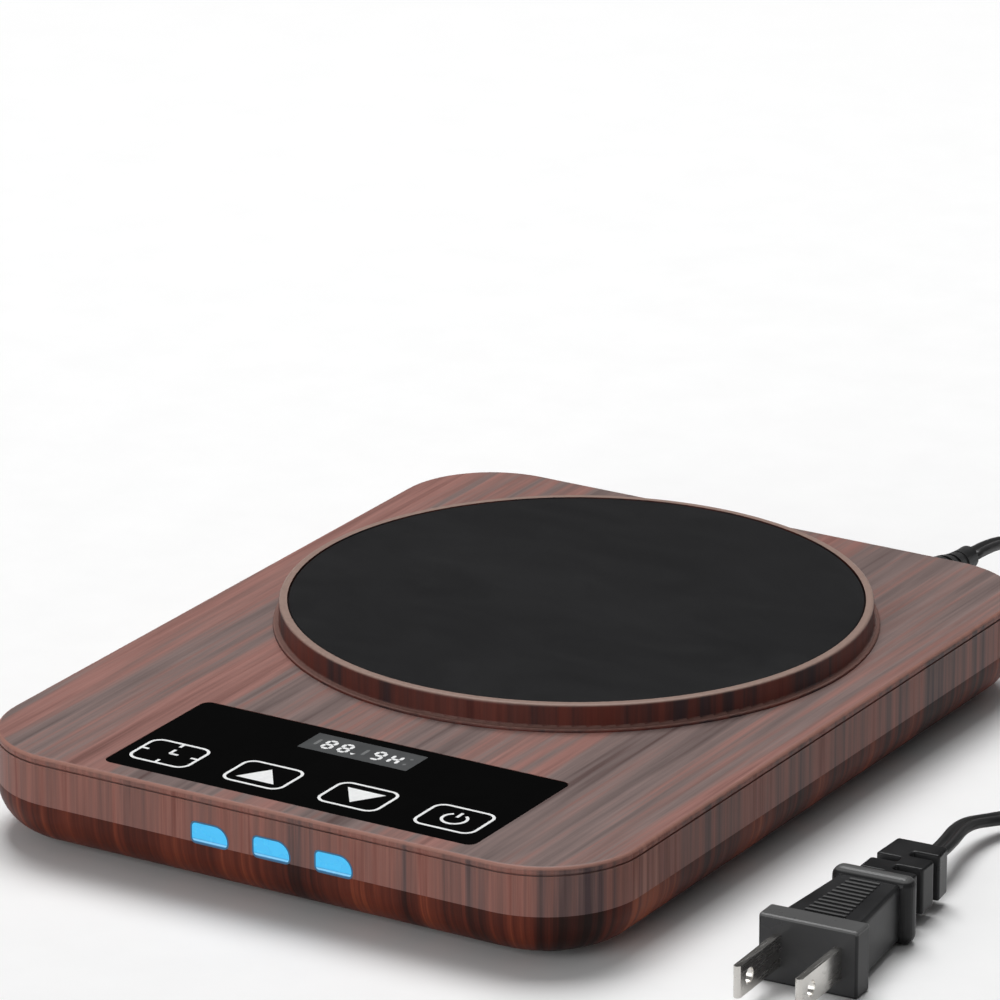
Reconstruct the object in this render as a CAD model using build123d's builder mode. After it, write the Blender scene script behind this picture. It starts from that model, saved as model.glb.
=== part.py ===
"""Electric warming mat: wood-print casing, round glass plate, touch panel, flat mains cord.

Millimetres. The origin is on the floor under the centre of the casing, +Z is up,
the touch panel faces -Y and +X is to the right of it.
"""

from build123d import *
from math import cos, pi, radians, sin, tan
import os

os.makedirs("parts", exist_ok=True)

# Clearances: close for parts that drop into each other, loose round leads, pads and screws
fit_gap = 0.1
loose_gap = 0.3

# Warming plate, its collar and the heating stack
collar_radius = 60.0
collar_rim = 1.7
collar_rise = 5.3
flange_width = 1.2
flange_height = 0.6
ledge_width = 3.3
neck_wall = 2.0
neck_gap = 0.3
glass_thickness = 3.0
glass_sink = 0.1
glass_gap = 0.2
gasket_thickness = 0.5
gasket_width = 2.6
spreader_thickness = 2.0
spreader_inset = 0.5
element_thickness = 0.8
element_inset = 2.0
insulation_thickness = 4.0
insulation_gap = 0.7
pan_sheet = 0.8
pan_overlap = 2.7
pan_screw_inset = 2.0
pan_screw_count = 4
pan_head_gap = 0.5

# Touch panel
key_count = 4
key_pitch = 21.5
key_end_margin = 9.5
key_front_margin = 9.75
lens_depth = 36.3
lens_corner = 1.8
lens_thickness = 1.2
lens_x = 2.0
tape_inset = 0.5
tape_thickness = 0.3
tape_width = 1.2
display_width = 26.0
display_depth = 10.0
display_back_margin = 6.85
display_shift = 1.1
display_bezel = 0.7
display_recess = 0.3
pad_radius = 4.0

# Casing, with the margins that it leaves round the plate and the panel
side_margin = 9.8
back_margin = 9.1
panel_gap = 14.25
front_margin = 4.95
corner_radius = 20.5
foot_lift = 1.5
tray_height = 10.0
shell_height = 10.0
tray_edge_radius = 9.5
top_edge_radius = 0.9
tray_wall = 2.0
shell_wall = 2.2
top_thickness = 2.5
groove_drop = 1.4
groove_height = 0.4
groove_depth = 0.35
lip_thickness = 0.8
lip_height = 1.5

# Windows in the front edge
window_count = 3
window_pitch = 14.0
window_width = 8.0
window_height = 3.9
window_big_radius = 2.8
window_small_radius = 0.9
window_flange = 1.0
window_flange_depth = 1.2

# Screws and the posts that take them
case_screw_shank = 1.5
case_screw_head = 2.7
case_screw_head_height = 2.2
small_screw_shank = 0.9
small_screw_head = 1.9
small_screw_head_height = 1.3
pan_screw_shank = 1.05
pan_screw_head = 2.5
pan_screw_head_height = 1.8
post_radius = 4.2
small_post_radius = 2.4
boss_wall = 0.3
seat_thickness = 3.5
hole_end = 1.0
screw_tip_gap = 0.2

# Feet
foot_radius = 7.0
foot_recess = 1.0
foot_margin = 1.5
foot_edge_radius = 0.9

# Boards
board_thickness = 1.6
board_corner = 1.0
board_screw_inset = 4.0
post_gap = 0.6
main_board_width = 100.0
main_board_post = 1.5
main_board_back_gap = 1.2
touch_board_overhang = 7.5
touch_board_depth_inset = 6.3
touch_board_shift = 1.4
touch_board_post = 3.0
touch_screw_inset = 3.0
led_board_margin = 4.0
led_board_thickness = 1.2
led_board_rise = 3.0
led_depth = 3.2
led_gap = 0.9
tall_gap = 1.4
low_gap = 2.2

# Parts on the main board, with their widths along X, depths along Y and steps along the row
tall_row_inset = 8.0
terminal_end_margin = 15.0
relay_step = 15.0
transformer_step = 17.0
capacitor_step = 12.5
capacitor_end_margin = 17.0
film_capacitor_shift = (1.0, -13.0)
buzzer_shift = (28.0, -4.0)
chip_shift = (12.0, -8.0)
header_x = -28.0
heater_tab_inset = 3.5
relay_width = 18.5
relay_depth = 10.2
transformer_width = 13.0
transformer_depth = 12.0
transformer_foot = 2.0
transformer_coil_width = 9.0
transformer_coil_depth = 11.0
transformer_core_depth = 5.0
capacitor_radius = 4.0
film_capacitor_width = 13.0
film_capacitor_depth = 5.0
terminal_width = 9.0
terminal_depth = 7.5
terminal_pitch = 3.8
terminal_hole = 1.3
terminal_drop = 2.0
tab_width = 4.4
tab_depth = 3.0
tab_height = 5.0
buzzer_radius = 4.8
buzzer_drop = 1.1
chip_width = 7.5
chip_depth = 5.3
chip_height = 1.6
header_width = 17.8
header_depth = 2.5

# Sensors under the plate and the leads to them
sensor_radius = 2.5
sensor_height = 4.0
cutoff_x = 18.0
cutoff_radius = 2.0
cutoff_length = 10.0
heater_lead_radius = 0.9
heater_lead_offsets = [(-18.0, -35.2), (-24.0, -33.2)]
sensor_lead_radius = 0.7
lead_hole_gap = 0.5

# Cord and boot
cord_diameter = 3.2
boot_side_inset = 28.0
boot_length = 17.0
boot_base_radius = 4.2
boot_base_length = 2.4
boot_waist_radius = 3.1
boot_waist_at = 9.5
boot_tip_radius = 2.5
boot_neck_radius = 3.0
boot_block_width = 9.0
boot_block_gap = 0.5
boot_block_length = 3.0
boot_groove_count = 3
boot_groove_start = 5.2
boot_groove_pitch = 3.2
boot_groove_width = 1.1
boot_groove_radius = 2.5
clamp_side_inset = 15.0
clamp_ahead = 14.8
clamp_reach = 5.6
clamp_end = 2.5
clamp_thickness = 1.8
coil_x = 136.0
coil_y = 35.0
coil_inner_radius = 16.3
coil_turns_per_layer = 3.5
coil_turn_gap = 1.2
coil_layer_gap = 0.5

# Plug
plug_face = (106.5, -72.0)
plug_yaw = 3.0
plug_width = 20.5
plug_height = 13.6
plug_flange = 5.4
plug_flange_corner = 0.8
plug_flange_edge = 0.5
plug_grip = 20.8
plug_grip_width = 16.6
plug_grip_tail = 12.8
plug_grip_height = 11.8
plug_grip_corner = 1.2
plug_bead = 4.6
plug_bead_width = 17.0
plug_bead_corner = 3.2
plug_bead_edge = 2.0
relief_length = 19.2
relief_width = 11.6
relief_height = 9.4
relief_taper = 1.0
relief_corner = 1.3
relief_core_width = 5.4
relief_core_height = 4.4
relief_core_corner = 1.8
relief_notch_count = 5
relief_notch_start = 0.5
relief_notch_pitch = 3.2
relief_notch_width = 1.9
relief_notch_depth = 5.2
rib_slot_count = 11
rib_pitch = 1.7
rib_start = 1.6
rib_front_width = 7.8
rib_taper = 2.2
rib_slot_length = 1.1
rib_slot_depth = 0.5
blade_pitch = 12.7
blade_width = 6.35
blade_thickness = 1.5
blade_length = 17.0
blade_root = 8.0
blade_tip_chamfer = 0.5
blade_hole_radius = 1.6
blade_hole_from_tip = 4.2

# Radii of the plate and the heating stack, each from the piece outside it
collar_inner = collar_radius - collar_rim
glass_radius = collar_inner - glass_gap
ledge_radius = collar_inner - ledge_width
neck_radius = ledge_radius + neck_wall
opening_radius = neck_radius + neck_gap
flange_radius = collar_radius + flange_width
pan_flange_radius = opening_radius + pan_overlap
pan_screw_radius = ledge_radius - pan_screw_inset
pan_radius = pan_screw_radius - pan_screw_head - pan_head_gap
insulation_radius = pan_radius - pan_sheet - insulation_gap
spreader_radius = insulation_radius - spreader_inset
element_radius = spreader_radius - element_inset

# Plan of the casing, which follows from the plate, the panel and their margins
casing_width = 2 * (flange_radius + side_margin)
casing_depth = back_margin + 2 * flange_radius + panel_gap + lens_depth + front_margin
back_wall = casing_depth / 2
front_wall = -casing_depth / 2
inner_front = front_wall + shell_wall
plate_y = back_wall - back_margin - flange_radius
lens_front = front_wall + front_margin
lens_back = lens_front + lens_depth
lens_y = (lens_front + lens_back) / 2
lens_width = (key_count - 1) * key_pitch + 2 * key_end_margin
display_x = lens_x - display_shift
display_y = lens_back - display_back_margin
key_y = lens_front + key_front_margin
key_spots = [(lens_x + (i - (key_count - 1) / 2) * key_pitch, key_y) for i in range(key_count)]
window_spots = [lens_x + (i - (window_count - 1) / 2) * window_pitch for i in range(window_count)]
window_row_width = (window_count - 1) * window_pitch + window_width
case_screw_x = casing_width / 2 - tray_edge_radius - foot_radius - foot_margin
case_screw_y = casing_depth / 2 - tray_edge_radius - foot_radius - foot_margin
case_screw_spots = [(x, y) for x in (-case_screw_x, case_screw_x) for y in (-case_screw_y, case_screw_y)]
boot_x = casing_width / 2 - boot_side_inset
clamp_x = casing_width / 2 - clamp_side_inset
clamp_y = plate_y + clamp_ahead
clamp_spots = [(clamp_x - clamp_reach, clamp_y), (clamp_x + clamp_reach, clamp_y)]
heater_lead_spots = [(x, plate_y + y) for x, y in heater_lead_offsets]
pan_screw_spots = [
    (pan_screw_radius * cos(turn), plate_y + pan_screw_radius * sin(turn))
    for turn in (radians(45 + 360 / pan_screw_count * i) for i in range(pan_screw_count))
]

# Heights, from the floor up and from the top face down
tray_bottom = foot_lift
tray_floor = tray_bottom + tray_wall
seam = tray_bottom + tray_height
top_face = seam + shell_height
shell_under = top_face - top_thickness
cavity_height = shell_under - seam
head_seat = seam - seat_thickness
collar_top = top_face + collar_rise
glass_bottom = collar_top - glass_sink - glass_thickness
ledge_top = glass_bottom - gasket_thickness
spreader_bottom = glass_bottom - spreader_thickness
element_bottom = spreader_bottom - element_thickness
insulation_bottom = element_bottom - insulation_thickness
pan_bottom = insulation_bottom - pan_sheet
lens_bottom = top_face - lens_thickness
recess_floor = lens_bottom - tape_thickness
window_bottom = seam + fit_gap
led_height = window_bottom + window_height / 2
boot_block_height = cavity_height - boot_block_gap
boot_z = shell_under - boot_block_height / 2
lead_height = tray_floor + cord_diameter / 2 + loose_gap
clamp_post_top = lead_height + cord_diameter / 2 + fit_gap

# Main board: from the lights behind the windows to the edge of the heater pan
main_board_front = inner_front + window_flange_depth + led_gap + led_depth
main_board_back = plate_y - pan_flange_radius - main_board_back_gap
main_board_depth = main_board_back - main_board_front
main_board_y = (main_board_front + main_board_back) / 2
main_board_bottom = tray_floor + main_board_post
main_board_top = main_board_bottom + board_thickness
main_board_spots = [
    (side * (main_board_width / 2 - board_screw_inset), main_board_y + end)
    for side in (-1, 1)
    for end in (board_screw_inset - main_board_depth / 2, main_board_depth / 2 - board_screw_inset)
]

# Touch board: under the lens, hung from the top with screws behind it and between its keys
touch_board_width = lens_width + 2 * touch_board_overhang
touch_board_depth = lens_depth - touch_board_depth_inset
touch_board_y = lens_y + touch_board_shift
touch_board_top = shell_under - touch_board_post
touch_board_bottom = touch_board_top - board_thickness
touch_board_spots = [
    (lens_x + side * reach, touch_board_y + end * (touch_board_depth / 2 - touch_screw_inset))
    for reach, end in ((touch_board_width / 2 - touch_screw_inset, 1), (key_pitch, -1))
    for side in (-1, 1)
]

plate_axis = Axis((0, plate_y, 0), (0, 0, 1))
plate_section = Plane.XZ.offset(-plate_y)


def level(height, x=0.0, y=0.0):
    """A horizontal plane at a height, with its own origin over a chosen spot."""
    return Plane(origin=(x, y, height))


def save(piece, name):
    """Label a finished piece and write it under its own name."""
    piece.part.label = name
    export_step(piece.part, f"parts/{name}.step")


def ring_edges(piece, radius):
    """The round edges of a turned piece that have one radius, lowest first."""
    circles = piece.edges().filter_by(GeomType.CIRCLE)
    return circles.filter_by(lambda edge: abs(edge.radius - radius) < fit_gap / 10).sort_by(Axis.Z)


def window_outline(window_x, grow):
    """A window seen from the front, larger all round by a gap, with one wide round corner."""
    with BuildSketch() as outline:
        with Locations((window_x, led_height)):
            Rectangle(window_width + 2 * grow, window_height + 2 * grow)
        upper = outline.vertices().group_by(Axis.Y)[-1].sort_by(Axis.X)
        fillet(upper[-1], window_big_radius + grow)
        fillet(upper[0], window_small_radius + grow)
    return outline.sketch


# Bottom tray: curved-under moulding with screw posts, board posts and foot recesses
with BuildPart() as bottom_tray:
    with BuildSketch(level(tray_bottom)):
        RectangleRounded(casing_width, casing_depth, corner_radius)
    extrude(amount=tray_height)
    fillet(bottom_tray.faces().sort_by(Axis.Z)[0].edges(), tray_edge_radius)
    offset(amount=-tray_wall, openings=bottom_tray.faces().sort_by(Axis.Z)[-1])
    with BuildSketch(level(seam)):
        RectangleRounded(
            casing_width - 2 * (tray_wall - lip_thickness),
            casing_depth - 2 * (tray_wall - lip_thickness),
            corner_radius - tray_wall + lip_thickness,
        )
        RectangleRounded(
            casing_width - 2 * tray_wall,
            casing_depth - 2 * tray_wall,
            corner_radius - tray_wall,
            mode=Mode.SUBTRACT,
        )
    extrude(amount=lip_height)
    with BuildSketch(level(seam, lens_x, front_wall)):
        Rectangle(window_row_width + 4 * window_flange, 4 * shell_wall)
    with BuildSketch(level(seam, boot_x, back_wall)):
        Rectangle(2 * boot_base_radius + 4 * window_flange, 4 * shell_wall)
    extrude(amount=lip_height, mode=Mode.SUBTRACT)
    with BuildSketch(level(tray_floor)):
        with Locations(*case_screw_spots):
            Circle(post_radius)
    extrude(amount=seam - tray_floor)
    with BuildSketch(level(tray_floor)):
        with Locations(*main_board_spots):
            Circle(small_post_radius)
    extrude(amount=main_board_post)
    with BuildSketch(level(tray_floor)):
        with Locations(*clamp_spots):
            Circle(small_post_radius)
    extrude(amount=clamp_post_top - tray_floor)
    with BuildSketch(level(tray_bottom)):
        with Locations(*case_screw_spots):
            Circle(foot_radius + fit_gap)
    extrude(amount=foot_recess, mode=Mode.SUBTRACT)
    with BuildSketch(level(tray_bottom)):
        with Locations(*case_screw_spots):
            Circle(case_screw_head + 2 * fit_gap)
    extrude(amount=head_seat - tray_bottom, mode=Mode.SUBTRACT)
    with BuildSketch(level(tray_bottom)):
        with Locations(*case_screw_spots):
            Circle(case_screw_shank + 2 * fit_gap)
    extrude(amount=seam - tray_bottom, mode=Mode.SUBTRACT)
    with BuildSketch(level(main_board_bottom)):
        with Locations(*main_board_spots):
            Circle(small_screw_shank + fit_gap)
    extrude(amount=-main_board_post - tray_wall / 2, mode=Mode.SUBTRACT)
    with BuildSketch(level(clamp_post_top)):
        with Locations(*clamp_spots):
            Circle(small_screw_shank + fit_gap)
    extrude(amount=tray_floor - clamp_post_top, mode=Mode.SUBTRACT)
save(bottom_tray, "bottom_tray")


# Top shell: hollow moulding with the plate opening, lens recess, window slots and cord slot
rebate = tray_wall - lip_thickness - fit_gap

with BuildPart() as top_shell:
    with BuildSketch(level(seam)):
        RectangleRounded(casing_width, casing_depth, corner_radius)
    extrude(amount=shell_height)
    fillet(top_shell.faces().sort_by(Axis.Z)[-1].edges(), top_edge_radius)
    with BuildSketch(level(seam)):
        RectangleRounded(
            casing_width - 2 * shell_wall, casing_depth - 2 * shell_wall, corner_radius - shell_wall
        )
    extrude(amount=cavity_height, mode=Mode.SUBTRACT)
    with BuildSketch(level(seam)):
        RectangleRounded(casing_width - 2 * rebate, casing_depth - 2 * rebate, corner_radius - rebate)
    extrude(amount=lip_height + fit_gap, mode=Mode.SUBTRACT)
    with BuildSketch(level(top_face - groove_drop)):
        RectangleRounded(
            casing_width + 2 * groove_depth, casing_depth + 2 * groove_depth, corner_radius + groove_depth
        )
        RectangleRounded(
            casing_width - 2 * groove_depth,
            casing_depth - 2 * groove_depth,
            corner_radius - groove_depth,
            mode=Mode.SUBTRACT,
        )
    extrude(amount=-groove_height, mode=Mode.SUBTRACT)
    with BuildSketch(level(shell_under, 0, plate_y)):
        Circle(opening_radius)
    extrude(amount=top_thickness, mode=Mode.SUBTRACT)
    with BuildSketch(level(recess_floor, lens_x, lens_y)):
        RectangleRounded(lens_width + 2 * fit_gap, lens_depth + 2 * fit_gap, lens_corner + fit_gap)
    extrude(amount=top_face - recess_floor, mode=Mode.SUBTRACT)
    with BuildSketch(level(shell_under, display_x, display_y)):
        Rectangle(display_width + 2 * fit_gap, display_depth + 2 * fit_gap)
    with BuildSketch(level(shell_under)):
        with Locations(*key_spots):
            Circle(pad_radius + loose_gap)
    extrude(amount=recess_floor - shell_under, mode=Mode.SUBTRACT)
    with BuildSketch(level(shell_under)):
        with Locations(*touch_board_spots):
            Circle(small_post_radius)
    extrude(amount=-touch_board_post)
    with BuildSketch(level(touch_board_top)):
        with Locations(*touch_board_spots):
            Circle(small_screw_shank + fit_gap)
    extrude(amount=touch_board_post, mode=Mode.SUBTRACT)
    with BuildSketch(level(seam)):
        with Locations(*case_screw_spots):
            Circle(post_radius)
    extrude(amount=cavity_height)
    with BuildSketch(level(seam)):
        with Locations(*case_screw_spots):
            Circle(case_screw_shank + fit_gap)
    extrude(amount=cavity_height - hole_end, mode=Mode.SUBTRACT)
    for window_x in window_spots:
        with BuildSketch(Plane.XZ.offset(-inner_front)):
            add(window_outline(window_x, fit_gap))
        extrude(amount=shell_wall, mode=Mode.SUBTRACT)
    with BuildSketch(Plane.XZ.offset(-back_wall)):
        with Locations((boot_x, boot_z)):
            Circle(boot_neck_radius + fit_gap)
        with Locations((boot_x, (seam + boot_z) / 2)):
            Rectangle(2 * (boot_neck_radius + fit_gap), boot_z - seam)
    extrude(amount=shell_wall, mode=Mode.SUBTRACT)
save(top_shell, "top_shell")


# Collar: raised ring with a foot flange, a ledge for the glass and screw bosses inside
rim_edge_radius = 0.6
flange_edge_radius = 0.35
root_radius = 0.5

with BuildPart() as plate_collar:
    with BuildSketch(plate_section):
        with BuildLine():
            Polyline(
                (ledge_radius, shell_under),
                (neck_radius, shell_under),
                (neck_radius, top_face),
                (flange_radius, top_face),
                (flange_radius, top_face + flange_height),
                (collar_radius, top_face + flange_height),
                (collar_radius, collar_top),
                (collar_inner, collar_top),
                (collar_inner, ledge_top),
                (ledge_radius, ledge_top),
                close=True,
            )
        make_face()
    revolve(axis=plate_axis)
    fillet(ring_edges(plate_collar, collar_radius)[-1], rim_edge_radius)
    fillet(ring_edges(plate_collar, flange_radius)[-1], flange_edge_radius)
    fillet(ring_edges(plate_collar, collar_radius)[0], root_radius)
    with BuildSketch(level(shell_under)):
        with Locations(*pan_screw_spots):
            Circle(pan_screw_head + boss_wall)
    extrude(amount=ledge_top - shell_under)
    with BuildSketch(level(shell_under)):
        with Locations(*pan_screw_spots):
            Circle(pan_screw_shank + fit_gap)
    extrude(amount=ledge_top - shell_under - hole_end, mode=Mode.SUBTRACT)
save(plate_collar, "plate_collar")


# Glass plate on its silicone bond ring
glass_edge = 0.25

with BuildPart() as plate_gasket:
    with BuildSketch(level(ledge_top, 0, plate_y)):
        Circle(glass_radius)
        Circle(glass_radius - gasket_width, mode=Mode.SUBTRACT)
    extrude(amount=gasket_thickness)
save(plate_gasket, "plate_gasket")

with BuildPart() as plate_glass:
    with BuildSketch(level(glass_bottom, 0, plate_y)):
        Circle(glass_radius)
    extrude(amount=glass_thickness)
    chamfer(plate_glass.faces().sort_by(Axis.Z)[-1].edges(), glass_edge)
save(plate_glass, "plate_glass")


# Heating stack: spreader, mica disc, fibre pad and the two sensors set into it
spreader_edge = 0.4
sensor_edge = 0.8
cutoff_edge = 0.5


def sensor_openings():
    """The hole for the thermistor and the slot for the cut-off, seen from above."""
    with BuildSketch() as openings:
        with Locations((0, plate_y)):
            Circle(sensor_radius + loose_gap)
        with Locations((cutoff_x, plate_y)):
            Rectangle(cutoff_length + 2 * loose_gap, 2 * (cutoff_radius + loose_gap))
    return openings.sketch


with BuildPart() as heat_spreader:
    with BuildSketch(level(spreader_bottom, 0, plate_y)):
        Circle(spreader_radius)
    extrude(amount=spreader_thickness)
    chamfer(heat_spreader.faces().sort_by(Axis.Z)[0].edges(), spreader_edge)
save(heat_spreader, "heat_spreader")

with BuildPart() as heating_element:
    with BuildSketch(level(element_bottom)):
        with Locations((0, plate_y)):
            Circle(element_radius)
        add(sensor_openings(), mode=Mode.SUBTRACT)
    extrude(amount=element_thickness)
save(heating_element, "heating_element")

with BuildPart() as insulation_pad:
    with BuildSketch(level(insulation_bottom)):
        with Locations((0, plate_y)):
            Circle(insulation_radius)
        with Locations(*heater_lead_spots):
            Circle(heater_lead_radius + lead_hole_gap, mode=Mode.SUBTRACT)
        add(sensor_openings(), mode=Mode.SUBTRACT)
    extrude(amount=insulation_thickness)
save(insulation_pad, "insulation_pad")

with BuildPart() as thermistor:
    with BuildSketch(level(spreader_bottom - sensor_height, 0, plate_y)):
        Circle(sensor_radius)
    extrude(amount=sensor_height)
    chamfer(thermistor.faces().sort_by(Axis.Z)[0].edges(), sensor_edge)
save(thermistor, "thermistor")

with BuildPart() as thermal_cutoff:
    cutoff_plane = Plane(
        origin=(cutoff_x - cutoff_length / 2, plate_y, spreader_bottom - cutoff_radius),
        x_dir=(0, 1, 0),
        z_dir=(1, 0, 0),
    )
    with BuildSketch(cutoff_plane):
        Circle(cutoff_radius)
    extrude(amount=cutoff_length)
    chamfer(thermal_cutoff.edges().filter_by(GeomType.CIRCLE), cutoff_edge)
save(thermal_cutoff, "thermal_cutoff")


# Heater pan: pressed dish whose flange clamps the collar to the shell
pan_bend_radius = 1.0

with BuildPart() as heater_pan:
    with BuildSketch(plate_section):
        with BuildLine():
            Polyline(
                (0, pan_bottom),
                (pan_radius, pan_bottom),
                (pan_radius, shell_under - pan_sheet),
                (pan_flange_radius, shell_under - pan_sheet),
                (pan_flange_radius, shell_under),
                (pan_radius - pan_sheet, shell_under),
                (pan_radius - pan_sheet, insulation_bottom),
                (0, insulation_bottom),
                close=True,
            )
        make_face()
    revolve(axis=plate_axis)
    fillet(ring_edges(heater_pan, pan_radius)[0], pan_bend_radius)
    with BuildSketch(level(pan_bottom)):
        with Locations(*pan_screw_spots):
            Circle(pan_screw_shank + loose_gap)
        with Locations(*heater_lead_spots):
            Circle(heater_lead_radius + lead_hole_gap)
        with Locations((0, plate_y)):
            Circle(sensor_radius + loose_gap)
    extrude(amount=shell_under - pan_bottom, mode=Mode.SUBTRACT)
save(heater_pan, "heater_pan")


def screw_set(spots, seat, toward, shank, length, head, head_height):
    """Cheese-head screws: the heads stand off their seat, the shanks run the way of toward."""
    with BuildPart() as screws:
        with BuildSketch(level(seat)):
            with Locations(*spots):
                Circle(head)
        extrude(amount=-toward * head_height)
        with BuildSketch(level(seat)):
            with Locations(*spots):
                Circle(shank)
        extrude(amount=toward * length)
    return screws


pan_seat = shell_under - pan_sheet

pan_screws = screw_set(
    pan_screw_spots,
    pan_seat,
    1,
    pan_screw_shank,
    ledge_top - hole_end - screw_tip_gap - pan_seat,
    pan_screw_head,
    pan_screw_head_height,
)
save(pan_screws, "pan_screws")

case_screws = screw_set(
    case_screw_spots,
    head_seat,
    1,
    case_screw_shank,
    shell_under - hole_end - screw_tip_gap - head_seat,
    case_screw_head,
    case_screw_head_height,
)
save(case_screws, "case_screws")


# Rubber feet: domed discs pressed into their recesses over the case screws
with BuildPart() as rubber_feet:
    with BuildSketch(level(0)):
        with Locations(*case_screw_spots):
            Circle(foot_radius)
    extrude(amount=foot_lift + foot_recess)
    fillet(rubber_feet.faces().filter_by(Plane.XY).group_by(Axis.Z)[0].edges(), foot_edge_radius)
save(rubber_feet, "rubber_feet")


# Touch lens with its bonding frame
lens_edge = 0.15
tape_width_outside = lens_width - 2 * tape_inset
tape_depth_outside = lens_depth - 2 * tape_inset

with BuildPart() as control_lens:
    with BuildSketch(level(lens_bottom, lens_x, lens_y)):
        RectangleRounded(lens_width, lens_depth, lens_corner)
    extrude(amount=lens_thickness)
    chamfer(control_lens.faces().sort_by(Axis.Z)[-1].edges(), lens_edge)
save(control_lens, "control_lens")

with BuildPart() as lens_tape:
    with BuildSketch(level(recess_floor, lens_x, lens_y)):
        RectangleRounded(tape_width_outside, tape_depth_outside, lens_corner - tape_inset)
        Rectangle(
            tape_width_outside - 2 * tape_width,
            tape_depth_outside - 2 * tape_width,
            mode=Mode.SUBTRACT,
        )
    extrude(amount=tape_thickness)
save(lens_tape, "lens_tape")


# Touch board behind the lens, notched round the case post, with its pads, display and screws
with BuildPart() as touch_board:
    with BuildSketch(level(touch_board_bottom, lens_x, touch_board_y)):
        RectangleRounded(touch_board_width, touch_board_depth, board_corner)
    extrude(amount=board_thickness)
    with BuildSketch(level(touch_board_bottom)):
        with Locations(*touch_board_spots):
            Circle(small_screw_shank + fit_gap)
        with Locations(*case_screw_spots):
            Circle(post_radius + post_gap)
    extrude(amount=board_thickness, mode=Mode.SUBTRACT)
save(touch_board, "touch_board")

with BuildPart() as touch_pads:
    with BuildSketch(level(touch_board_top)):
        with Locations(*key_spots):
            Circle(pad_radius)
    extrude(amount=lens_bottom - touch_board_top)
save(touch_pads, "touch_pads")

with BuildPart() as display_module:
    with BuildSketch(level(touch_board_top, display_x, display_y)):
        Rectangle(display_width, display_depth)
    extrude(amount=lens_bottom - touch_board_top)
    with BuildSketch(level(lens_bottom, display_x, display_y)):
        Rectangle(display_width - 2 * display_bezel, display_depth - 2 * display_bezel)
    extrude(amount=-display_recess, mode=Mode.SUBTRACT)
save(display_module, "display_module")

touch_board_screws = screw_set(
    touch_board_spots,
    touch_board_bottom,
    1,
    small_screw_shank,
    board_thickness + touch_board_post - fit_gap,
    small_screw_head,
    small_screw_head_height,
)
save(touch_board_screws, "touch_board_screws")


# Main board, notched round the case posts, with its screws
with BuildPart() as main_board:
    with BuildSketch(level(main_board_bottom, 0, main_board_y)):
        RectangleRounded(main_board_width, main_board_depth, board_corner)
    extrude(amount=board_thickness)
    with BuildSketch(level(main_board_bottom)):
        with Locations(*main_board_spots):
            Circle(small_screw_shank + fit_gap)
        with Locations(*case_screw_spots):
            Circle(post_radius + post_gap)
    extrude(amount=board_thickness, mode=Mode.SUBTRACT)
save(main_board, "main_board")

main_board_screws = screw_set(
    main_board_spots,
    main_board_top,
    -1,
    small_screw_shank,
    board_thickness + main_board_post + tray_wall / 4,
    small_screw_head,
    small_screw_head_height,
)
save(main_board_screws, "main_board_screws")


# Parts that stand on the main board: a tall row behind the touch board, low parts under it
tall_space = shell_under - main_board_top - tall_gap
low_space = touch_board_bottom - main_board_top - low_gap
tall_row_y = main_board_back - tall_row_inset
terminal_x = main_board_width / 2 - terminal_end_margin
relay_x = terminal_x - relay_step
transformer_x = relay_x - transformer_step
capacitor_spots = [
    (transformer_x - capacitor_step, tall_row_y),
    (capacitor_end_margin - main_board_width / 2, tall_row_y),
]
terminal_height = tall_space - terminal_drop
buzzer_height = low_space - buzzer_drop
film_capacitor_spot = (transformer_x + film_capacitor_shift[0], tall_row_y + film_capacitor_shift[1])
buzzer_spot = (buzzer_shift[0], main_board_y + buzzer_shift[1])
chip_spot = (chip_shift[0], main_board_y + chip_shift[1])
header_spot = (header_x, touch_board_y)
heater_tab_y = main_board_back - heater_tab_inset
small_edge = 0.5

with BuildPart() as relay:
    with BuildSketch(level(main_board_top, relay_x, tall_row_y)):
        Rectangle(relay_width, relay_depth)
    extrude(amount=tall_space - small_edge)
    chamfer(relay.faces().sort_by(Axis.Z)[-1].edges(), small_edge)
save(relay, "relay")

with BuildPart() as transformer:
    with BuildSketch(level(main_board_top, transformer_x, tall_row_y)):
        Rectangle(transformer_width, transformer_depth)
    extrude(amount=transformer_foot)
    with BuildSketch(level(main_board_top + transformer_foot, transformer_x, tall_row_y)):
        RectangleRounded(transformer_coil_width, transformer_coil_depth, 2 * board_corner)
    extrude(amount=tall_space - transformer_foot - 2 * small_edge)
    with BuildSketch(level(main_board_top + transformer_foot, transformer_x, tall_row_y)):
        Rectangle(transformer_width, transformer_core_depth)
    extrude(amount=tall_space - transformer_foot - small_edge)
save(transformer, "transformer")

with BuildPart() as capacitors:
    with BuildSketch(level(main_board_top)):
        with Locations(*capacitor_spots):
            Circle(capacitor_radius)
    extrude(amount=tall_space)
    chamfer(capacitors.faces().filter_by(Plane.XY).group_by(Axis.Z)[-1].edges(), small_edge)
    with BuildSketch(level(main_board_top, *film_capacitor_spot)):
        Rectangle(film_capacitor_width, film_capacitor_depth)
    extrude(amount=low_space)
save(capacitors, "capacitors")

with BuildPart() as terminal_block:
    with BuildSketch(level(main_board_top, terminal_x, tall_row_y)):
        Rectangle(terminal_width, terminal_depth)
    extrude(amount=terminal_height)
    chamfer(terminal_block.faces().sort_by(Axis.Z)[-1].edges().filter_by(Axis.Y), 2 * small_edge)
    with BuildSketch(level(main_board_top + terminal_height, terminal_x, tall_row_y)):
        with GridLocations(0, terminal_pitch, 1, 2):
            Circle(terminal_hole)
    extrude(amount=-terminal_hole, mode=Mode.SUBTRACT)
save(terminal_block, "terminal_block")

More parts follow.
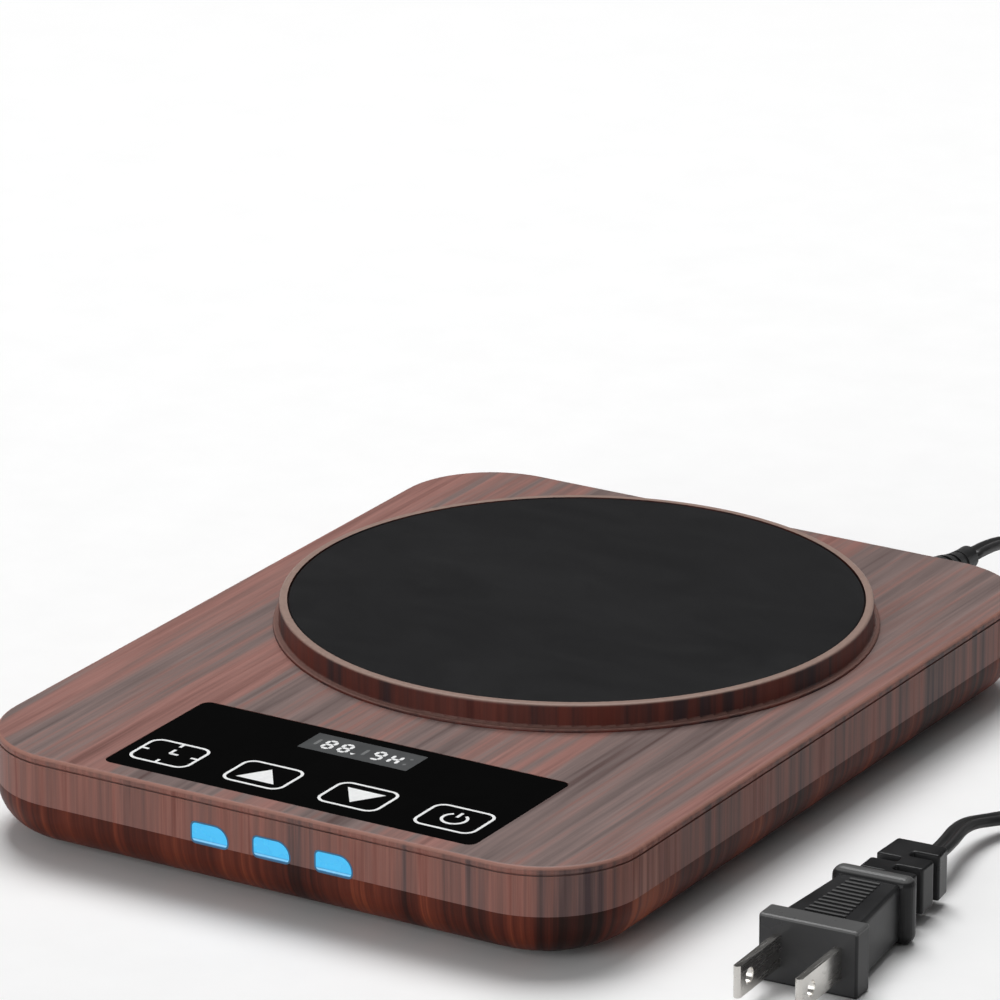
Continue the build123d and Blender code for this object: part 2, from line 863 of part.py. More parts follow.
with BuildPart() as heater_terminals:
    with BuildSketch(level(main_board_top)):
        with Locations(*[(x, heater_tab_y) for x, y in heater_lead_spots]):
            Rectangle(tab_width, tab_depth)
    extrude(amount=tab_height)
save(heater_terminals, "heater_terminals")

with BuildPart() as buzzer:
    with BuildSketch(level(main_board_top, *buzzer_spot)):
        Circle(buzzer_radius)
    extrude(amount=buzzer_height)
    chamfer(buzzer.faces().sort_by(Axis.Z)[-1].edges(), small_edge)
    with BuildSketch(level(main_board_top + buzzer_height, *buzzer_spot)):
        Circle(2 * small_edge)
    extrude(amount=-2 * small_edge, mode=Mode.SUBTRACT)
save(buzzer, "buzzer")

with BuildPart() as control_chip:
    with BuildSketch(level(main_board_top, *chip_spot)):
        Rectangle(chip_width, chip_depth)
    extrude(amount=chip_height)
    chamfer(control_chip.faces().sort_by(Axis.Z)[-1].edges(), small_edge / 2)
save(control_chip, "control_chip")

with BuildPart() as pin_header:
    with BuildSketch(level(main_board_top, *header_spot)):
        Rectangle(header_width, header_depth)
    extrude(amount=touch_board_bottom - main_board_top)
save(pin_header, "pin_header")


# Blue windows in the front edge, each with a flange behind the wall, and their light board
with BuildPart() as indicator_windows:
    for window_x in window_spots:
        with BuildSketch(Plane.XZ.offset(-inner_front)):
            add(window_outline(window_x, 0))
        extrude(amount=shell_wall)
        with BuildSketch(Plane.XZ.offset(-inner_front - window_flange_depth)):
            with Locations((window_x, led_height + window_flange / 2)):
                Rectangle(window_width + 2 * window_flange, window_height + window_flange)
        extrude(amount=window_flange_depth)
save(indicator_windows, "indicator_windows")

with BuildPart() as indicator_board:
    with BuildSketch(level(main_board_top, lens_x, main_board_front + led_board_thickness / 2)):
        Rectangle(window_row_width + 2 * led_board_margin, led_board_thickness)
    extrude(amount=led_height + led_board_rise - main_board_top)
save(indicator_board, "indicator_board")

led_width = 3.5
led_tall = 2.8

with BuildPart() as indicator_leds:
    with BuildSketch(Plane.XZ.offset(-main_board_front)):
        with Locations(*[(x, led_height) for x in window_spots]):
            Rectangle(led_width, led_tall)
    extrude(amount=led_depth)
save(indicator_leds, "indicator_leds")


def bend_radii(points):
    """The widest arc for each corner: a share of the shorter run over the tangent of half the turn."""
    run_share = 0.45
    corners = [Vector(*p) for p in points]
    runs = [b - a for a, b in zip(corners, corners[1:])]
    return [
        run_share * min(a.length, b.length) / tan(radians(a.get_angle(b)) / 2)
        for a, b in zip(runs, runs[1:])
    ]


def lead(name, radius, *routes):
    """Round leads along straight runs joined by tangent arcs, square to both their ends."""
    total = 0
    with BuildPart() as leads:
        for points in routes:
            bends = bend_radii(points)
            with BuildLine() as route:
                FilletPolyline(*points, radius=bends)
            path = route.wires()[0]
            with BuildSketch(Plane(origin=path @ 0, z_dir=path % 0)):
                Circle(radius)
            sweep(path=path)
            total += path.length
            print(name, "length", round(path.length, 1), "bends", [round(r, 1) for r in bends])
    share = leads.part.volume / (pi * radius**2 * total)
    print(name, "volume over section times length", round(share, 4))
    return leads


# Wiring inside the casing: mains lead with its clamp, heater leads and sensor lead
terminal_lead_z = main_board_top + terminal_height / 2
tab_middle = main_board_top + tab_height / 2

mains_lead = lead(
    "mains_lead",
    cord_diameter / 2,
    [
        (boot_x, back_wall - shell_wall - boot_block_length, boot_z),
        (boot_x, back_wall - 11.5, boot_z),
        (boot_x + 3.0, back_wall - 21.5, 11.0),
        (clamp_x - 3.0, clamp_y + 22.0, lead_height + 1.0),
        (clamp_x, clamp_y + 10.0, lead_height),
        (clamp_x, clamp_y - 14.0, lead_height),
        (clamp_x + 1.5, clamp_y - 36.0, lead_height),
        (clamp_x + 1.5, tall_row_y + 26.0, lead_height),
        (clamp_x, tall_row_y + 10.0, lead_height + 2.5),
        (terminal_x + terminal_width / 2 + 10.0, tall_row_y, terminal_lead_z),
        (terminal_x + terminal_width / 2, tall_row_y, terminal_lead_z),
    ],
)
save(mains_lead, "mains_lead")

with BuildPart() as cord_clamp:
    with BuildSketch(level(clamp_post_top, clamp_x, clamp_y)):
        SlotOverall(2 * (clamp_reach + clamp_end), 2 * clamp_end)
    extrude(amount=clamp_thickness)
    with BuildSketch(level(clamp_post_top)):
        with Locations(*clamp_spots):
            Circle(small_screw_shank + fit_gap)
    extrude(amount=clamp_thickness, mode=Mode.SUBTRACT)
save(cord_clamp, "cord_clamp")

clamp_screws = screw_set(
    clamp_spots,
    clamp_post_top + clamp_thickness,
    -1,
    small_screw_shank,
    clamp_post_top + clamp_thickness - tray_floor - fit_gap,
    small_screw_head,
    small_screw_head_height,
)
save(clamp_screws, "clamp_screws")

heater_leads = lead(
    "heater_leads",
    heater_lead_radius,
    *[
        [
            (x, y, element_bottom),
            (x, y, element_bottom - 8.0),
            (x, y - 10.0, tab_middle + 1.1),
            (x, heater_tab_y + 12.0, tab_middle),
            (x, heater_tab_y + tab_depth / 2, tab_middle),
        ]
        for x, y in heater_lead_spots
    ],
)
save(heater_leads, "heater_leads")

sensor_lead = lead(
    "sensor_lead",
    sensor_lead_radius,
    [
        (0.0, plate_y, spreader_bottom - sensor_height),
        (0.0, plate_y, pan_bottom - 4.0),
        (-2.0, plate_y - 14.0, 9.0),
        (-6.0, plate_y - 32.0, 8.0),
        (-10.0, main_board_back + 10.0, 9.5),
        (-12.0, main_board_back - 2.3, main_board_top + 4.0),
        (-12.0, main_board_back - 2.3, main_board_top),
    ],
)
save(sensor_lead, "sensor_lead")


# Cord boot: tapered, grooved relief whose neck drops into the slot in the back wall
boot_inner_wall = back_wall - shell_wall

with BuildPart() as strain_relief:
    with BuildSketch(Plane.XZ.offset(-boot_inner_wall)):
        with Locations((boot_x, boot_z)):
            Circle(boot_neck_radius)
        with Locations((boot_x, (seam + boot_z) / 2)):
            Rectangle(2 * boot_neck_radius, boot_z - seam)
    extrude(amount=-shell_wall)
    with BuildSketch(Plane.XZ.offset(-boot_inner_wall)):
        with Locations((boot_x, boot_z)):
            RectangleRounded(boot_block_width, boot_block_height, 3 * small_edge)
    extrude(amount=boot_block_length)
    with BuildSketch(Plane(origin=(boot_x, back_wall, boot_z), x_dir=(1, 0, 0), z_dir=(0, 0, 1))):
        with BuildLine():
            Line((0, 0), (boot_base_radius, 0))
            Line((boot_base_radius, 0), (boot_base_radius, boot_base_length))
            Spline(
                (boot_base_radius, boot_base_length),
                (boot_waist_radius, boot_waist_at),
                (boot_tip_radius, boot_length),
                tangents=((0, 1), (0, 1)),
            )
            Line((boot_tip_radius, boot_length), (0, boot_length))
            Line((0, boot_length), (0, 0))
        make_face()
    revolve(axis=Axis((boot_x, back_wall, boot_z), (0, 1, 0)))
    for index in range(boot_groove_count):
        groove_y = back_wall + boot_groove_start + index * boot_groove_pitch
        with BuildSketch(Plane.XZ.offset(-groove_y)):
            with Locations((boot_x, boot_z)):
                Circle(boot_base_radius)
                Circle(boot_groove_radius, mode=Mode.SUBTRACT)
        extrude(amount=-boot_groove_width, mode=Mode.SUBTRACT)
save(strain_relief, "strain_relief")


# Plug: flange, ribbed grip, rear bead and serpentine relief in one overmould
plug_rearward = Vector(-sin(radians(plug_yaw)), cos(radians(plug_yaw)), 0)
plug_sideways = Vector(cos(radians(plug_yaw)), sin(radians(plug_yaw)), 0)
plug_start = Vector(plug_face[0], plug_face[1], plug_height / 2)
bead_start = plug_flange + plug_grip
relief_start = bead_start + plug_bead
plug_length = relief_start + relief_length


def plug_section(distance):
    """A plane across the plug, a distance behind its face, with its height along +Z."""
    return Plane(origin=plug_start + plug_rearward * distance, x_dir=plug_sideways, z_dir=plug_rearward)


def plug_plan(distance, aside):
    """A level plane at the plug's mid-height, over a spot behind its face and beside its axis."""
    spot = plug_start + plug_rearward * distance + plug_sideways * aside
    return Plane(origin=spot, x_dir=plug_sideways, z_dir=(0, 0, 1))


with BuildPart() as rear_bead:
    with BuildSketch(plug_section(bead_start)):
        RectangleRounded(plug_bead_width, plug_height, plug_bead_corner)
    extrude(amount=plug_bead)
    bead_ends = rear_bead.faces().sort_by(Axis.Y)
    fillet(bead_ends[0].edges() + bead_ends[-1].edges(), plug_bead_edge)

with BuildPart() as plug_body:
    with BuildSketch(plug_section(0)):
        RectangleRounded(plug_width, plug_height, plug_flange_corner)
    extrude(amount=plug_flange)
    flange_ends = plug_body.faces().sort_by(Axis.Y)
    chamfer(flange_ends[0].edges() + flange_ends[-1].edges(), plug_flange_edge)
    with BuildSketch(plug_section(plug_flange)):
        RectangleRounded(plug_grip_width, plug_grip_height, plug_grip_corner)
    with BuildSketch(plug_section(bead_start)):
        RectangleRounded(plug_grip_tail, plug_grip_height, plug_grip_corner)
    loft()
    add(rear_bead.part)
    with BuildSketch(plug_section(relief_start)):
        RectangleRounded(relief_width, relief_height, relief_corner)
    with BuildSketch(plug_section(plug_length)):
        RectangleRounded(relief_width - relief_taper, relief_height - relief_taper, relief_corner)
    loft()
    for index in range(relief_notch_count):
        side = -1 if index % 2 == 0 else 1
        notch_middle = relief_start + relief_notch_start + relief_notch_pitch * index + relief_notch_width / 2
        with BuildSketch(plug_plan(notch_middle, side * relief_width / 2)):
            SlotOverall(2 * relief_notch_depth, relief_notch_width)
        extrude(amount=relief_height, both=True, mode=Mode.SUBTRACT)
    with BuildSketch(plug_section(relief_start)):
        RectangleRounded(relief_core_width, relief_core_height, relief_core_corner)
    extrude(amount=relief_length)
    for index in range(rib_slot_count):
        slot_width = rib_front_width - rib_taper * index / (rib_slot_count - 1)
        with BuildSketch(plug_section(plug_flange + rib_start + index * rib_pitch)):
            with GridLocations(0, plug_grip_height, 1, 2):
                Rectangle(slot_width, 2 * rib_slot_depth)
        extrude(amount=rib_slot_length, mode=Mode.SUBTRACT)
    with BuildSketch(plug_section(0)):
        with GridLocations(blade_pitch, 0, 2, 1):
            Rectangle(blade_thickness, blade_width)
    extrude(amount=blade_root, mode=Mode.SUBTRACT)
save(plug_body, "plug_body")

with BuildPart() as plug_blades:
    with BuildSketch(plug_section(blade_root)):
        with GridLocations(blade_pitch, 0, 2, 1):
            Rectangle(blade_thickness, blade_width)
    extrude(amount=-blade_root - blade_length)
    chamfer(plug_blades.faces().sort_by(Axis.Y)[:2].edges().filter_by(Axis.Z), blade_tip_chamfer)
    hole_plane = Plane(
        origin=plug_start - plug_rearward * (blade_length - blade_hole_from_tip),
        x_dir=plug_rearward,
        z_dir=plug_sideways,
    )
    with BuildSketch(hole_plane):
        Circle(blade_hole_radius)
    extrude(amount=plug_width, both=True, mode=Mode.SUBTRACT)
save(plug_blades, "plug_blades")


# Stored cord: two layers of loops, spiralling in on the floor and out again on top
coil_floor = cord_diameter / 2
coil_top = coil_floor + cord_diameter + coil_layer_gap
coil_pitch = cord_diameter + coil_turn_gap
layer_halves = int(2 * coil_turns_per_layer)
coil_outer_radius = coil_inner_radius + coil_pitch / 2 * layer_halves


def coil_stations():
    """Where the coil crosses its own X axis, with its heading there, one every half turn."""
    stations = []
    for half in range(layer_halves + 1):
        side = -1 if half % 2 == 0 else 1
        stations.append((side * (coil_outer_radius - coil_pitch / 2 * half), coil_floor, side))
    for half in range(layer_halves):
        side = -1 if half % 2 == 0 else 1
        stations.append((side * (coil_inner_radius + coil_pitch / 2 * half), coil_top, side))
    return [(Vector(coil_x + x, coil_y, z), Vector(0, side, 0)) for x, z, side in stations]


def biarc_joint(start, end):
    """The point where two arcs meet that leave one station and reach the next along their headings."""
    (p, heading), (q, arrival) = start, end
    reach = (q - p).length / 2
    return (p + heading * reach + q - arrival * reach) / 2, (q - arrival * reach - p - heading * reach)


stations = coil_stations()
with BuildPart() as cord_coil:
    with BuildLine() as coil_route:
        first, first_heading = stations[0]
        Line(first - first_heading * cord_diameter, first)
        for start, end in zip(stations, stations[1:]):
            joint, joint_heading = biarc_joint(start, end)
            TangentArc(start[0], joint, tangent=start[1])
            TangentArc(joint, end[0], tangent=joint_heading.normalized())
        last, last_heading = stations[-1]
        Line(last, last + last_heading * cord_diameter)
    coil_path = coil_route.wires()[0]
    with BuildSketch(Plane(origin=coil_path @ 0, z_dir=coil_path % 0)):
        Circle(cord_diameter / 2)
    sweep(path=coil_path)
save(cord_coil, "cord_coil")

coil_length = coil_path.length
coil_share = cord_coil.part.volume / (pi * (cord_diameter / 2) ** 2 * coil_length)
print("cord_coil length", round(coil_length, 1), "volume over section times length", round(coil_share, 4))


def least_gap(line, samples):
    """The smallest free space between turns of one line, from points along it."""
    length = line.length
    points = [line @ (i / samples) for i in range(samples + 1)]
    skip = int(samples * 3.0 * cord_diameter / length) + 1
    nearest = min(
        (points[i] - points[j]).length for i in range(len(points)) for j in range(i + skip, len(points))
    )
    return nearest - cord_diameter


print("cord_coil least gap", round(least_gap(coil_path, 900), 2))


# Free cord: out of the boot, round beside the casing, and from the coil to the plug
coil_entry = coil_path @ 0
coil_exit = coil_path @ 1
plug_tail = plug_start + plug_rearward * plug_length

power_cord = lead(
    "power_cord",
    cord_diameter / 2,
    [
        (boot_x, back_wall + boot_length, boot_z),
        (boot_x, back_wall + 30.5, boot_z),
        (45.0, 142.0, 8.5),
        (51.0, 160.0, 3.2),
        (64.0, 175.0, coil_floor),
        (84.0, 179.0, coil_floor),
        (101.0, 167.0, coil_floor),
        (110.0, 145.0, coil_floor),
        (112.0, 118.0, coil_floor),
        (109.0, 92.0, coil_floor),
        (coil_entry.X, 60.0, coil_floor),
        (coil_entry.X, coil_entry.Y, coil_floor),
    ],
)
save(power_cord, "power_cord")

plug_cord = lead(
    "plug_cord",
    cord_diameter / 2,
    [
        (coil_exit.X, coil_exit.Y, coil_exit.Z),
        (coil_exit.X, coil_exit.Y - 11.0, coil_exit.Z),
        (101.6, 12.0, 3.8),
        (100.2, 0.5, 5.4),
        tuple(plug_tail + plug_rearward * 10.0),
        tuple(plug_tail),
    ],
)
save(plug_cord, "plug_cord")
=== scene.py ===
from math import asin, cos, pi, radians, sin, tau

import bmesh
import bpy
from mathutils import Matrix, Vector


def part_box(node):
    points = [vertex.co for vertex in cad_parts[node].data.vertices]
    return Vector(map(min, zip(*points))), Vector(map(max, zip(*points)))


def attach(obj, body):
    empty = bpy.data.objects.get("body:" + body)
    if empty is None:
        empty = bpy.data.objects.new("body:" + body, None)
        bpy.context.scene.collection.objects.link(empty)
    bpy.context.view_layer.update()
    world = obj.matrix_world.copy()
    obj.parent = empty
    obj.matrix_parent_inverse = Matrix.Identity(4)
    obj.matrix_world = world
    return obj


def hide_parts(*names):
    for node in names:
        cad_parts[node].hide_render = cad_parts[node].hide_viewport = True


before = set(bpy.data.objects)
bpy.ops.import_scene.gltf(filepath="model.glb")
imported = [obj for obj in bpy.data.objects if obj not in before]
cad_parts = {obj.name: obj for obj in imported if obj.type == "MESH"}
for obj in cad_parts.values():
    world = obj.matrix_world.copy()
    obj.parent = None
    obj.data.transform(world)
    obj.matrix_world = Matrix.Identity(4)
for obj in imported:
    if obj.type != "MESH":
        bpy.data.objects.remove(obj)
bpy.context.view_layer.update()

scene = bpy.context.scene
scene.view_settings.view_transform = "Standard"


# The camera looks down on the front right corner of the mat through a long lens, from the
# place where the casing's edges and the rim of the plate line up with the photograph.
camera_place = Vector((0.74406, -1.22988, 0.57794))
camera_azimuth = radians(31.305)
camera_elevation = radians(20.004)
camera_roll = radians(-0.135)
camera_lens = 278.4

backward = Vector((
    sin(camera_azimuth) * cos(camera_elevation),
    -cos(camera_azimuth) * cos(camera_elevation),
    sin(camera_elevation),
))
level_right = Vector((cos(camera_azimuth), sin(camera_azimuth), 0))
level_up = backward.cross(level_right)
rightward = level_right * cos(camera_roll) + level_up * sin(camera_roll)
upward = level_up * cos(camera_roll) - level_right * sin(camera_roll)

camera_data = bpy.data.cameras.new("camera")
camera_data.lens = camera_lens
camera_data.sensor_width = 36
camera_data.clip_end = 20
camera = bpy.data.objects.new("camera", camera_data)
camera.matrix_world = Matrix.Translation(camera_place) @ Matrix(
    (rightward, upward, backward)
).transposed().to_4x4()
scene.collection.objects.link(camera)
scene.camera = camera


# Mains cord: flat twin cable in one black jacket, two round cores side by side with a groove
# between them. It leaves the boot, lies round the mat, keeps its spare length in a flat coil
# of two layers and ends in the plug.
cord_width = 0.0040
cord_height = 0.0020
cord_rest = cord_height / 2
groove_half_height = 0.00045
core_steps = 10
boot_tip = (0.043, 0.1105, 0.0155)
coil_centre = (0.136, 0.035)
coil_outer = 0.0317
coil_inner = 0.0163
coil_pitch = 0.0044
coil_dip = 0.0011
coil_top = 0.0031
coil_turns = 7
coil_rise_turns = 0.5
turn_points = 16
plug_face = Vector((0.1065, -0.072, 0.0068))
plug_length = 0.0500
plug_yaw = radians(3)
plug_lead_in = 0.010
plug_rearward = Vector((-sin(plug_yaw), cos(plug_yaw), 0))
plug_sideways = Vector((cos(plug_yaw), sin(plug_yaw), 0))
plug_tail = plug_face + plug_rearward * plug_length

from_boot = [
    boot_tip,
    (0.043, 0.124, 0.0155),
    (0.045, 0.142, 0.0085),
    (0.051, 0.160, 0.0030),
    (0.064, 0.175, cord_rest),
    (0.084, 0.179, cord_rest),
    (0.101, 0.167, cord_rest),
    (0.110, 0.145, cord_rest),
    (0.112, 0.118, cord_rest),
    (0.109, 0.092, cord_rest),
    (0.1043, 0.060, cord_rest),
    (0.1043, 0.0382, cord_rest),
]
to_plug = [
    (0.1065, 0.0318, coil_top),
    (0.1065, 0.0208, coil_top),
    (0.1010, 0.0130, 0.0032),
    (0.0998, 0.0015, 0.0060),
    tuple(plug_tail + plug_rearward * plug_lead_in),
    tuple(plug_tail),
]


def coil_point(turn):
    """A point of the coil after so many turns: inwards on the floor, up, and outwards on top."""
    inward_turns = (coil_outer - coil_inner) / coil_pitch
    rise = min(max((turn - inward_turns) / coil_rise_turns, 0), 1)
    if turn <= inward_turns:
        radius = coil_outer - coil_pitch * turn
    elif rise < 1:
        radius = coil_inner - coil_dip * sin(pi * rise)
    else:
        radius = coil_inner + coil_pitch * (turn - inward_turns - coil_rise_turns)
    reach = radius / cos(pi / turn_points)
    angle = pi + tau * turn
    height = cord_rest + (coil_top - cord_rest) * rise
    return (coil_centre[0] + reach * cos(angle), coil_centre[1] + reach * sin(angle), height)


coil_points = [coil_point(step / turn_points) for step in range(coil_turns * turn_points + 1)]


def spline_line(name, points):
    """The points that an open smooth spline through a route gives."""
    curve = bpy.data.curves.new(name, "CURVE")
    curve.dimensions = "3D"
    curve.resolution_u = 8
    spline = curve.splines.new("NURBS")
    spline.points.add(len(points) - 1)
    for control, point in zip(spline.points, points):
        control.co = (*point, 1)
    spline.order_u = 3
    spline.use_endpoint_u = True
    guide = bpy.data.objects.new(name, curve)
    scene.collection.objects.link(guide)
    graph = bpy.context.evaluated_depsgraph_get()
    line = bpy.data.meshes.new_from_object(guide.evaluated_get(graph))
    places = [vertex.co.copy() for vertex in line.vertices]
    bpy.data.objects.remove(guide)
    bpy.data.meshes.remove(line)
    return places


def twin_outline(steps):
    """The twin jacket's section, right core first, as (sideways, up) pairs."""
    core = cord_height / 2
    core_offset = cord_width / 2 - core
    pinch = pi - asin(groove_half_height / core)
    right = [
        (core_offset + core * cos(angle), core * sin(angle))
        for angle in (-pinch + 2 * pinch * step / steps for step in range(steps + 1))
    ]
    return right + [(-across, -up) for across, up in right]


def new_piece(name, mesh_or_bmesh, material):
    """Put a finished mesh into the scene under its name, with its material."""
    if isinstance(mesh_or_bmesh, bmesh.types.BMesh):
        mesh = bpy.data.meshes.new(name)
        mesh_or_bmesh.to_mesh(mesh)
        mesh_or_bmesh.free()
    else:
        mesh = mesh_or_bmesh
        mesh.name = name
    mesh.materials.clear()
    mesh.materials.append(material)
    piece = bpy.data.objects.new(name, mesh)
    scene.collection.objects.link(piece)
    return piece


def sweep_level(line, outline):
    """Sweep a section along a line, its width kept level, with a UV map in metres along it."""
    shape = bmesh.new()
    lengthwise = shape.loops.layers.uv.new("along")
    rings = []
    travelled = [0]
    for index, place in enumerate(line):
        before = line[max(index - 1, 0)]
        after = line[min(index + 1, len(line) - 1)]
        heading = (after - before).normalized()
        across = heading.cross(Vector((0, 0, 1))).normalized()
        over = across.cross(heading)
        rings.append([shape.verts.new(place + across * u + over * v) for u, v in outline])
        if index:
            travelled.append(travelled[-1] + (place - before).length)
    count = len(outline)
    girth = (cord_width * 2 + cord_height) / count
    for index in range(len(rings) - 1):
        for corner in range(count):
            following = (corner + 1) % count
            face = shape.faces.new((
                rings[index][corner],
                rings[index][following],
                rings[index + 1][following],
                rings[index + 1][corner],
            ))
            face.smooth = True
            marks = ((index, corner), (index, corner + 1), (index + 1, corner + 1), (index + 1, corner))
            for loop, (station, turn) in zip(face.loops, marks):
                loop[lengthwise].uv = (travelled[station], turn * girth)
    shape.faces.new(rings[0][::-1])
    shape.faces.new(rings[-1])
    bmesh.ops.recalc_face_normals(shape, faces=shape.faces)
    return shape


def add(tree, kind, inputs=None, **settings):
    """Add a shader node, with its settings, and with values or links for its inputs."""
    item = tree.nodes.new(kind)
    for key, value in settings.items():
        setattr(item, key, value)
    for key, value in (inputs or {}).items():
        if isinstance(value, bpy.types.NodeSocket):
            tree.links.new(value, item.inputs[key])
        else:
            item.inputs[key].default_value = value
    return item


def new_finish(name):
    """An empty material with its surface shader: the material, its tree and the shader."""
    material = bpy.data.materials.new(name)
    material.use_nodes = True
    tree = material.node_tree
    tree.nodes.clear()
    shader = add(tree, "ShaderNodeBsdfPrincipled")
    output = add(tree, "ShaderNodeOutputMaterial")
    tree.links.new(shader.outputs["BSDF"], output.inputs["Surface"])
    return material, tree, shader


def stretched_noise(tree, source, scale, detail=4, roughness=0.55, distortion=0, shift=(0, 0, 0)):
    """Noise on coordinates stretched by a scale for each axis, in features a metre."""
    mapping = add(tree, "ShaderNodeMapping", {"Vector": source, "Scale": scale, "Location": shift})
    noise = add(
        tree,
        "ShaderNodeTexNoise",
        {
            "Vector": mapping.outputs["Vector"],
            "Scale": 1,
            "Detail": detail,
            "Roughness": roughness,
            "Distortion": distortion,
        },
    )
    return noise.outputs["Fac"]


def ramp(tree, factor, stops):
    """A colour ramp through (place, colour) stops."""
    item = add(tree, "ShaderNodeValToRGB", {"Fac": factor})
    elements = item.color_ramp.elements
    while len(elements) < len(stops):
        elements.new(0.5)
    for element, (place, colour) in zip(elements, stops):
        element.position = place
        element.color = (*colour, 1)
    return item.outputs["Color"]


def remap(tree, value, low, high, start, end):
    """A value moved from one range to another, and held inside it."""
    item = add(
        tree,
        "ShaderNodeMapRange",
        {"Value": value, "From Min": low, "From Max": high, "To Min": start, "To Max": end},
    )
    return item.outputs["Result"]


noise_low = 0.3
noise_high = 0.7


def spread(tree, noise, start, end):
    """A noise, which mostly keeps between its low and its high, spread over a wanted range."""
    return remap(tree, noise, noise_low, noise_high, start, end)


def bump(tree, height, strength, distance):
    """A small relief, in metres of depth, as a normal."""
    item = add(tree, "ShaderNodeBump", {"Height": height, "Strength": strength, "Distance": distance})
    return item.outputs["Normal"]


def coat(tree, shader, colour, roughness, relief=None, gloss=0.5):
    """Give the shader its colour, its roughness, its relief if there is one, and its gloss."""
    tree.links.new(colour, shader.inputs["Base Color"])
    tree.links.new(roughness, shader.inputs["Roughness"])
    if relief:
        tree.links.new(relief, shader.inputs["Normal"])
    shader.inputs["Specular IOR Level"].default_value = gloss


def srgb(red, green, blue):
    """A colour written in the 0 to 255 numbers of a screen, as linear light."""
    return tuple(
        part / 12.92 if part <= 0.04045 else ((part + 0.055) / 1.055) ** 2.4
        for part in (red / 255, green / 255, blue / 255)
    )


def jacket_finish():
    """Black PVC cable jacket: satin, with drawing lines along it and faint dust."""
    material, tree, shader = new_finish("cord_jacket")
    uv = add(tree, "ShaderNodeTexCoord").outputs["UV"]
    drawn = stretched_noise(tree, uv, (25, 2600, 1), detail=3)
    dust = stretched_noise(tree, uv, (220, 380, 1), detail=6, roughness=0.7)
    colour = ramp(tree, dust, [(0.35, srgb(24, 24, 25)), (0.8, srgb(44, 43, 43))])
    coat(tree, shader, colour, spread(tree, drawn, 0.34, 0.5), bump(tree, drawn, 0.25, 0.00005))
    return material


cord_line = spline_line("cord_route", from_boot + coil_points + to_plug)
mains_cord = new_piece("mains_cord", sweep_level(cord_line, twin_outline(core_steps)), jacket_finish())
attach(mains_cord, "root")
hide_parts("power_cord", "cord_coil", "plug_cord")


# Strain relief: soft black rubber sleeve moulded round the cord, clamped in the back wall,
# with a smooth taper and three rings of bending grooves.
def finish_node(name, material):
    """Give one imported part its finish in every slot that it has."""
    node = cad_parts[name]
    if not node.material_slots:
        node.data.materials.append(material)
    for holder in node.material_slots:
        holder.material = material


def places_on(tree):
    """The places on a piece, in metres."""
    return add(tree, "ShaderNodeTexCoord").outputs["Object"]


def rubber_finish(name, dark, light, dullness, speck=1800):
    """Soft black rubber: fine moulded texture, slightly cloudy, darker where it is smooth."""
    material, tree, shader = new_finish(name)
    place = places_on(tree)
    cloud = stretched_noise(tree, place, (90, 90, 90), detail=5)
    pores = stretched_noise(tree, place, (speck, speck, speck), detail=3)
    colour = ramp(tree, cloud, [(0.35, dark), (0.7, light)])
    roughness = spread(tree, cloud, dullness - 0.06, dullness + 0.08)
    coat(tree, shader, colour, roughness, bump(tree, pores, 0.3, 0.00004))
    return material


finish_node("strain_relief", rubber_finish("boot_rubber", srgb(22, 22, 23), srgb(38, 38, 39), 0.48))


# Plug: two-blade plug moulded round the cord's end in satin black PVC, in one piece: a flat
# flange, a tapered grip, a round bead and a flexible tail cut by alternate rounded notches.
flange_width = 0.0205
flange_height = 0.0136
flange_end = 0.0054
grip_front_width = 0.0166
grip_rear_width = 0.0128
grip_height = 0.0118
grip_start = 0.0050
grip_end = 0.0268
bead_width = 0.0170
bead_start = 0.0262
bead_end = 0.0308
tail_start = 0.0304
tail_end = plug_length
tail_half_width = 0.0058
tail_taper = 0.0005
tail_height = 0.0094
core_width = 0.0054
core_height = 0.0044
core_end = tail_end - 0.001
notch_first = 0.0317
notch_pitch = 0.0037
notch_width = 0.0022
notch_inner = 0.0004
notch_count = 4
tail_round = 0.0007
rib_first = 0.0072
rib_pitch = 0.00168
rib_count = 11
rib_front_half = 0.0042
rib_rear_half = 0.0030
rib_thickness = 0.00062
rib_height = 0.0124
# Painted highlight: from this height up, the flange, bead and rib tops are painted a lighter grey.
highlight_from = plug_face.z + grip_height / 2 + 0.00005
highlight_to = plug_face.z + rib_height / 2
painted_top_highlight = (*srgb(88, 88, 88), 1)
# Painted light: the front face round the blades is painted lighter, as if lit from the front.
painted_front_light = (*srgb(57, 57, 58), 1)
plug_gloss = 0.2
edge_share = 0.45
sharp_edge = radians(50)


def rounded_path(points, radius, steps=4):
    """A closed outline with its corners rounded, as smooth curves from side to side."""
    outline = []
    for index, corner in enumerate(points):
        corner = Vector(corner)
        before = Vector(points[index - 1]) - corner
        after = Vector(points[(index + 1) % len(points)]) - corner
        reach = min(radius, before.length * edge_share, after.length * edge_share)
        start = corner + before.normalized() * reach
        end = corner + after.normalized() * reach
        for step in range(steps + 1):
            share = step / steps
            outline.append(
                start * (1 - share) ** 2 + corner * 2 * share * (1 - share) + end * share**2
            )
    return outline


def raised_shape(shape, outline, low, lift):
    """A closed flat shape from an anticlockwise outline, with a thickness."""
    floor_ring = [shape.verts.new((x, y, low)) for x, y in outline]
    roof_ring = [shape.verts.new((x, y, low + lift)) for x, y in outline]
    shape.faces.new(roof_ring)
    shape.faces.new(floor_ring[::-1])
    for here in range(len(outline)):
        there = (here + 1) % len(outline)
        shape.faces.new((floor_ring[here], floor_ring[there], roof_ring[there], roof_ring[here]))


def evaluated_mesh(piece):
    """The plain mesh of a piece with its modifiers applied, after which the piece is removed."""
    graph = bpy.context.evaluated_depsgraph_get()
    mesh = bpy.data.meshes.new_from_object(piece.evaluated_get(graph))
    bpy.data.objects.remove(piece)
    return mesh


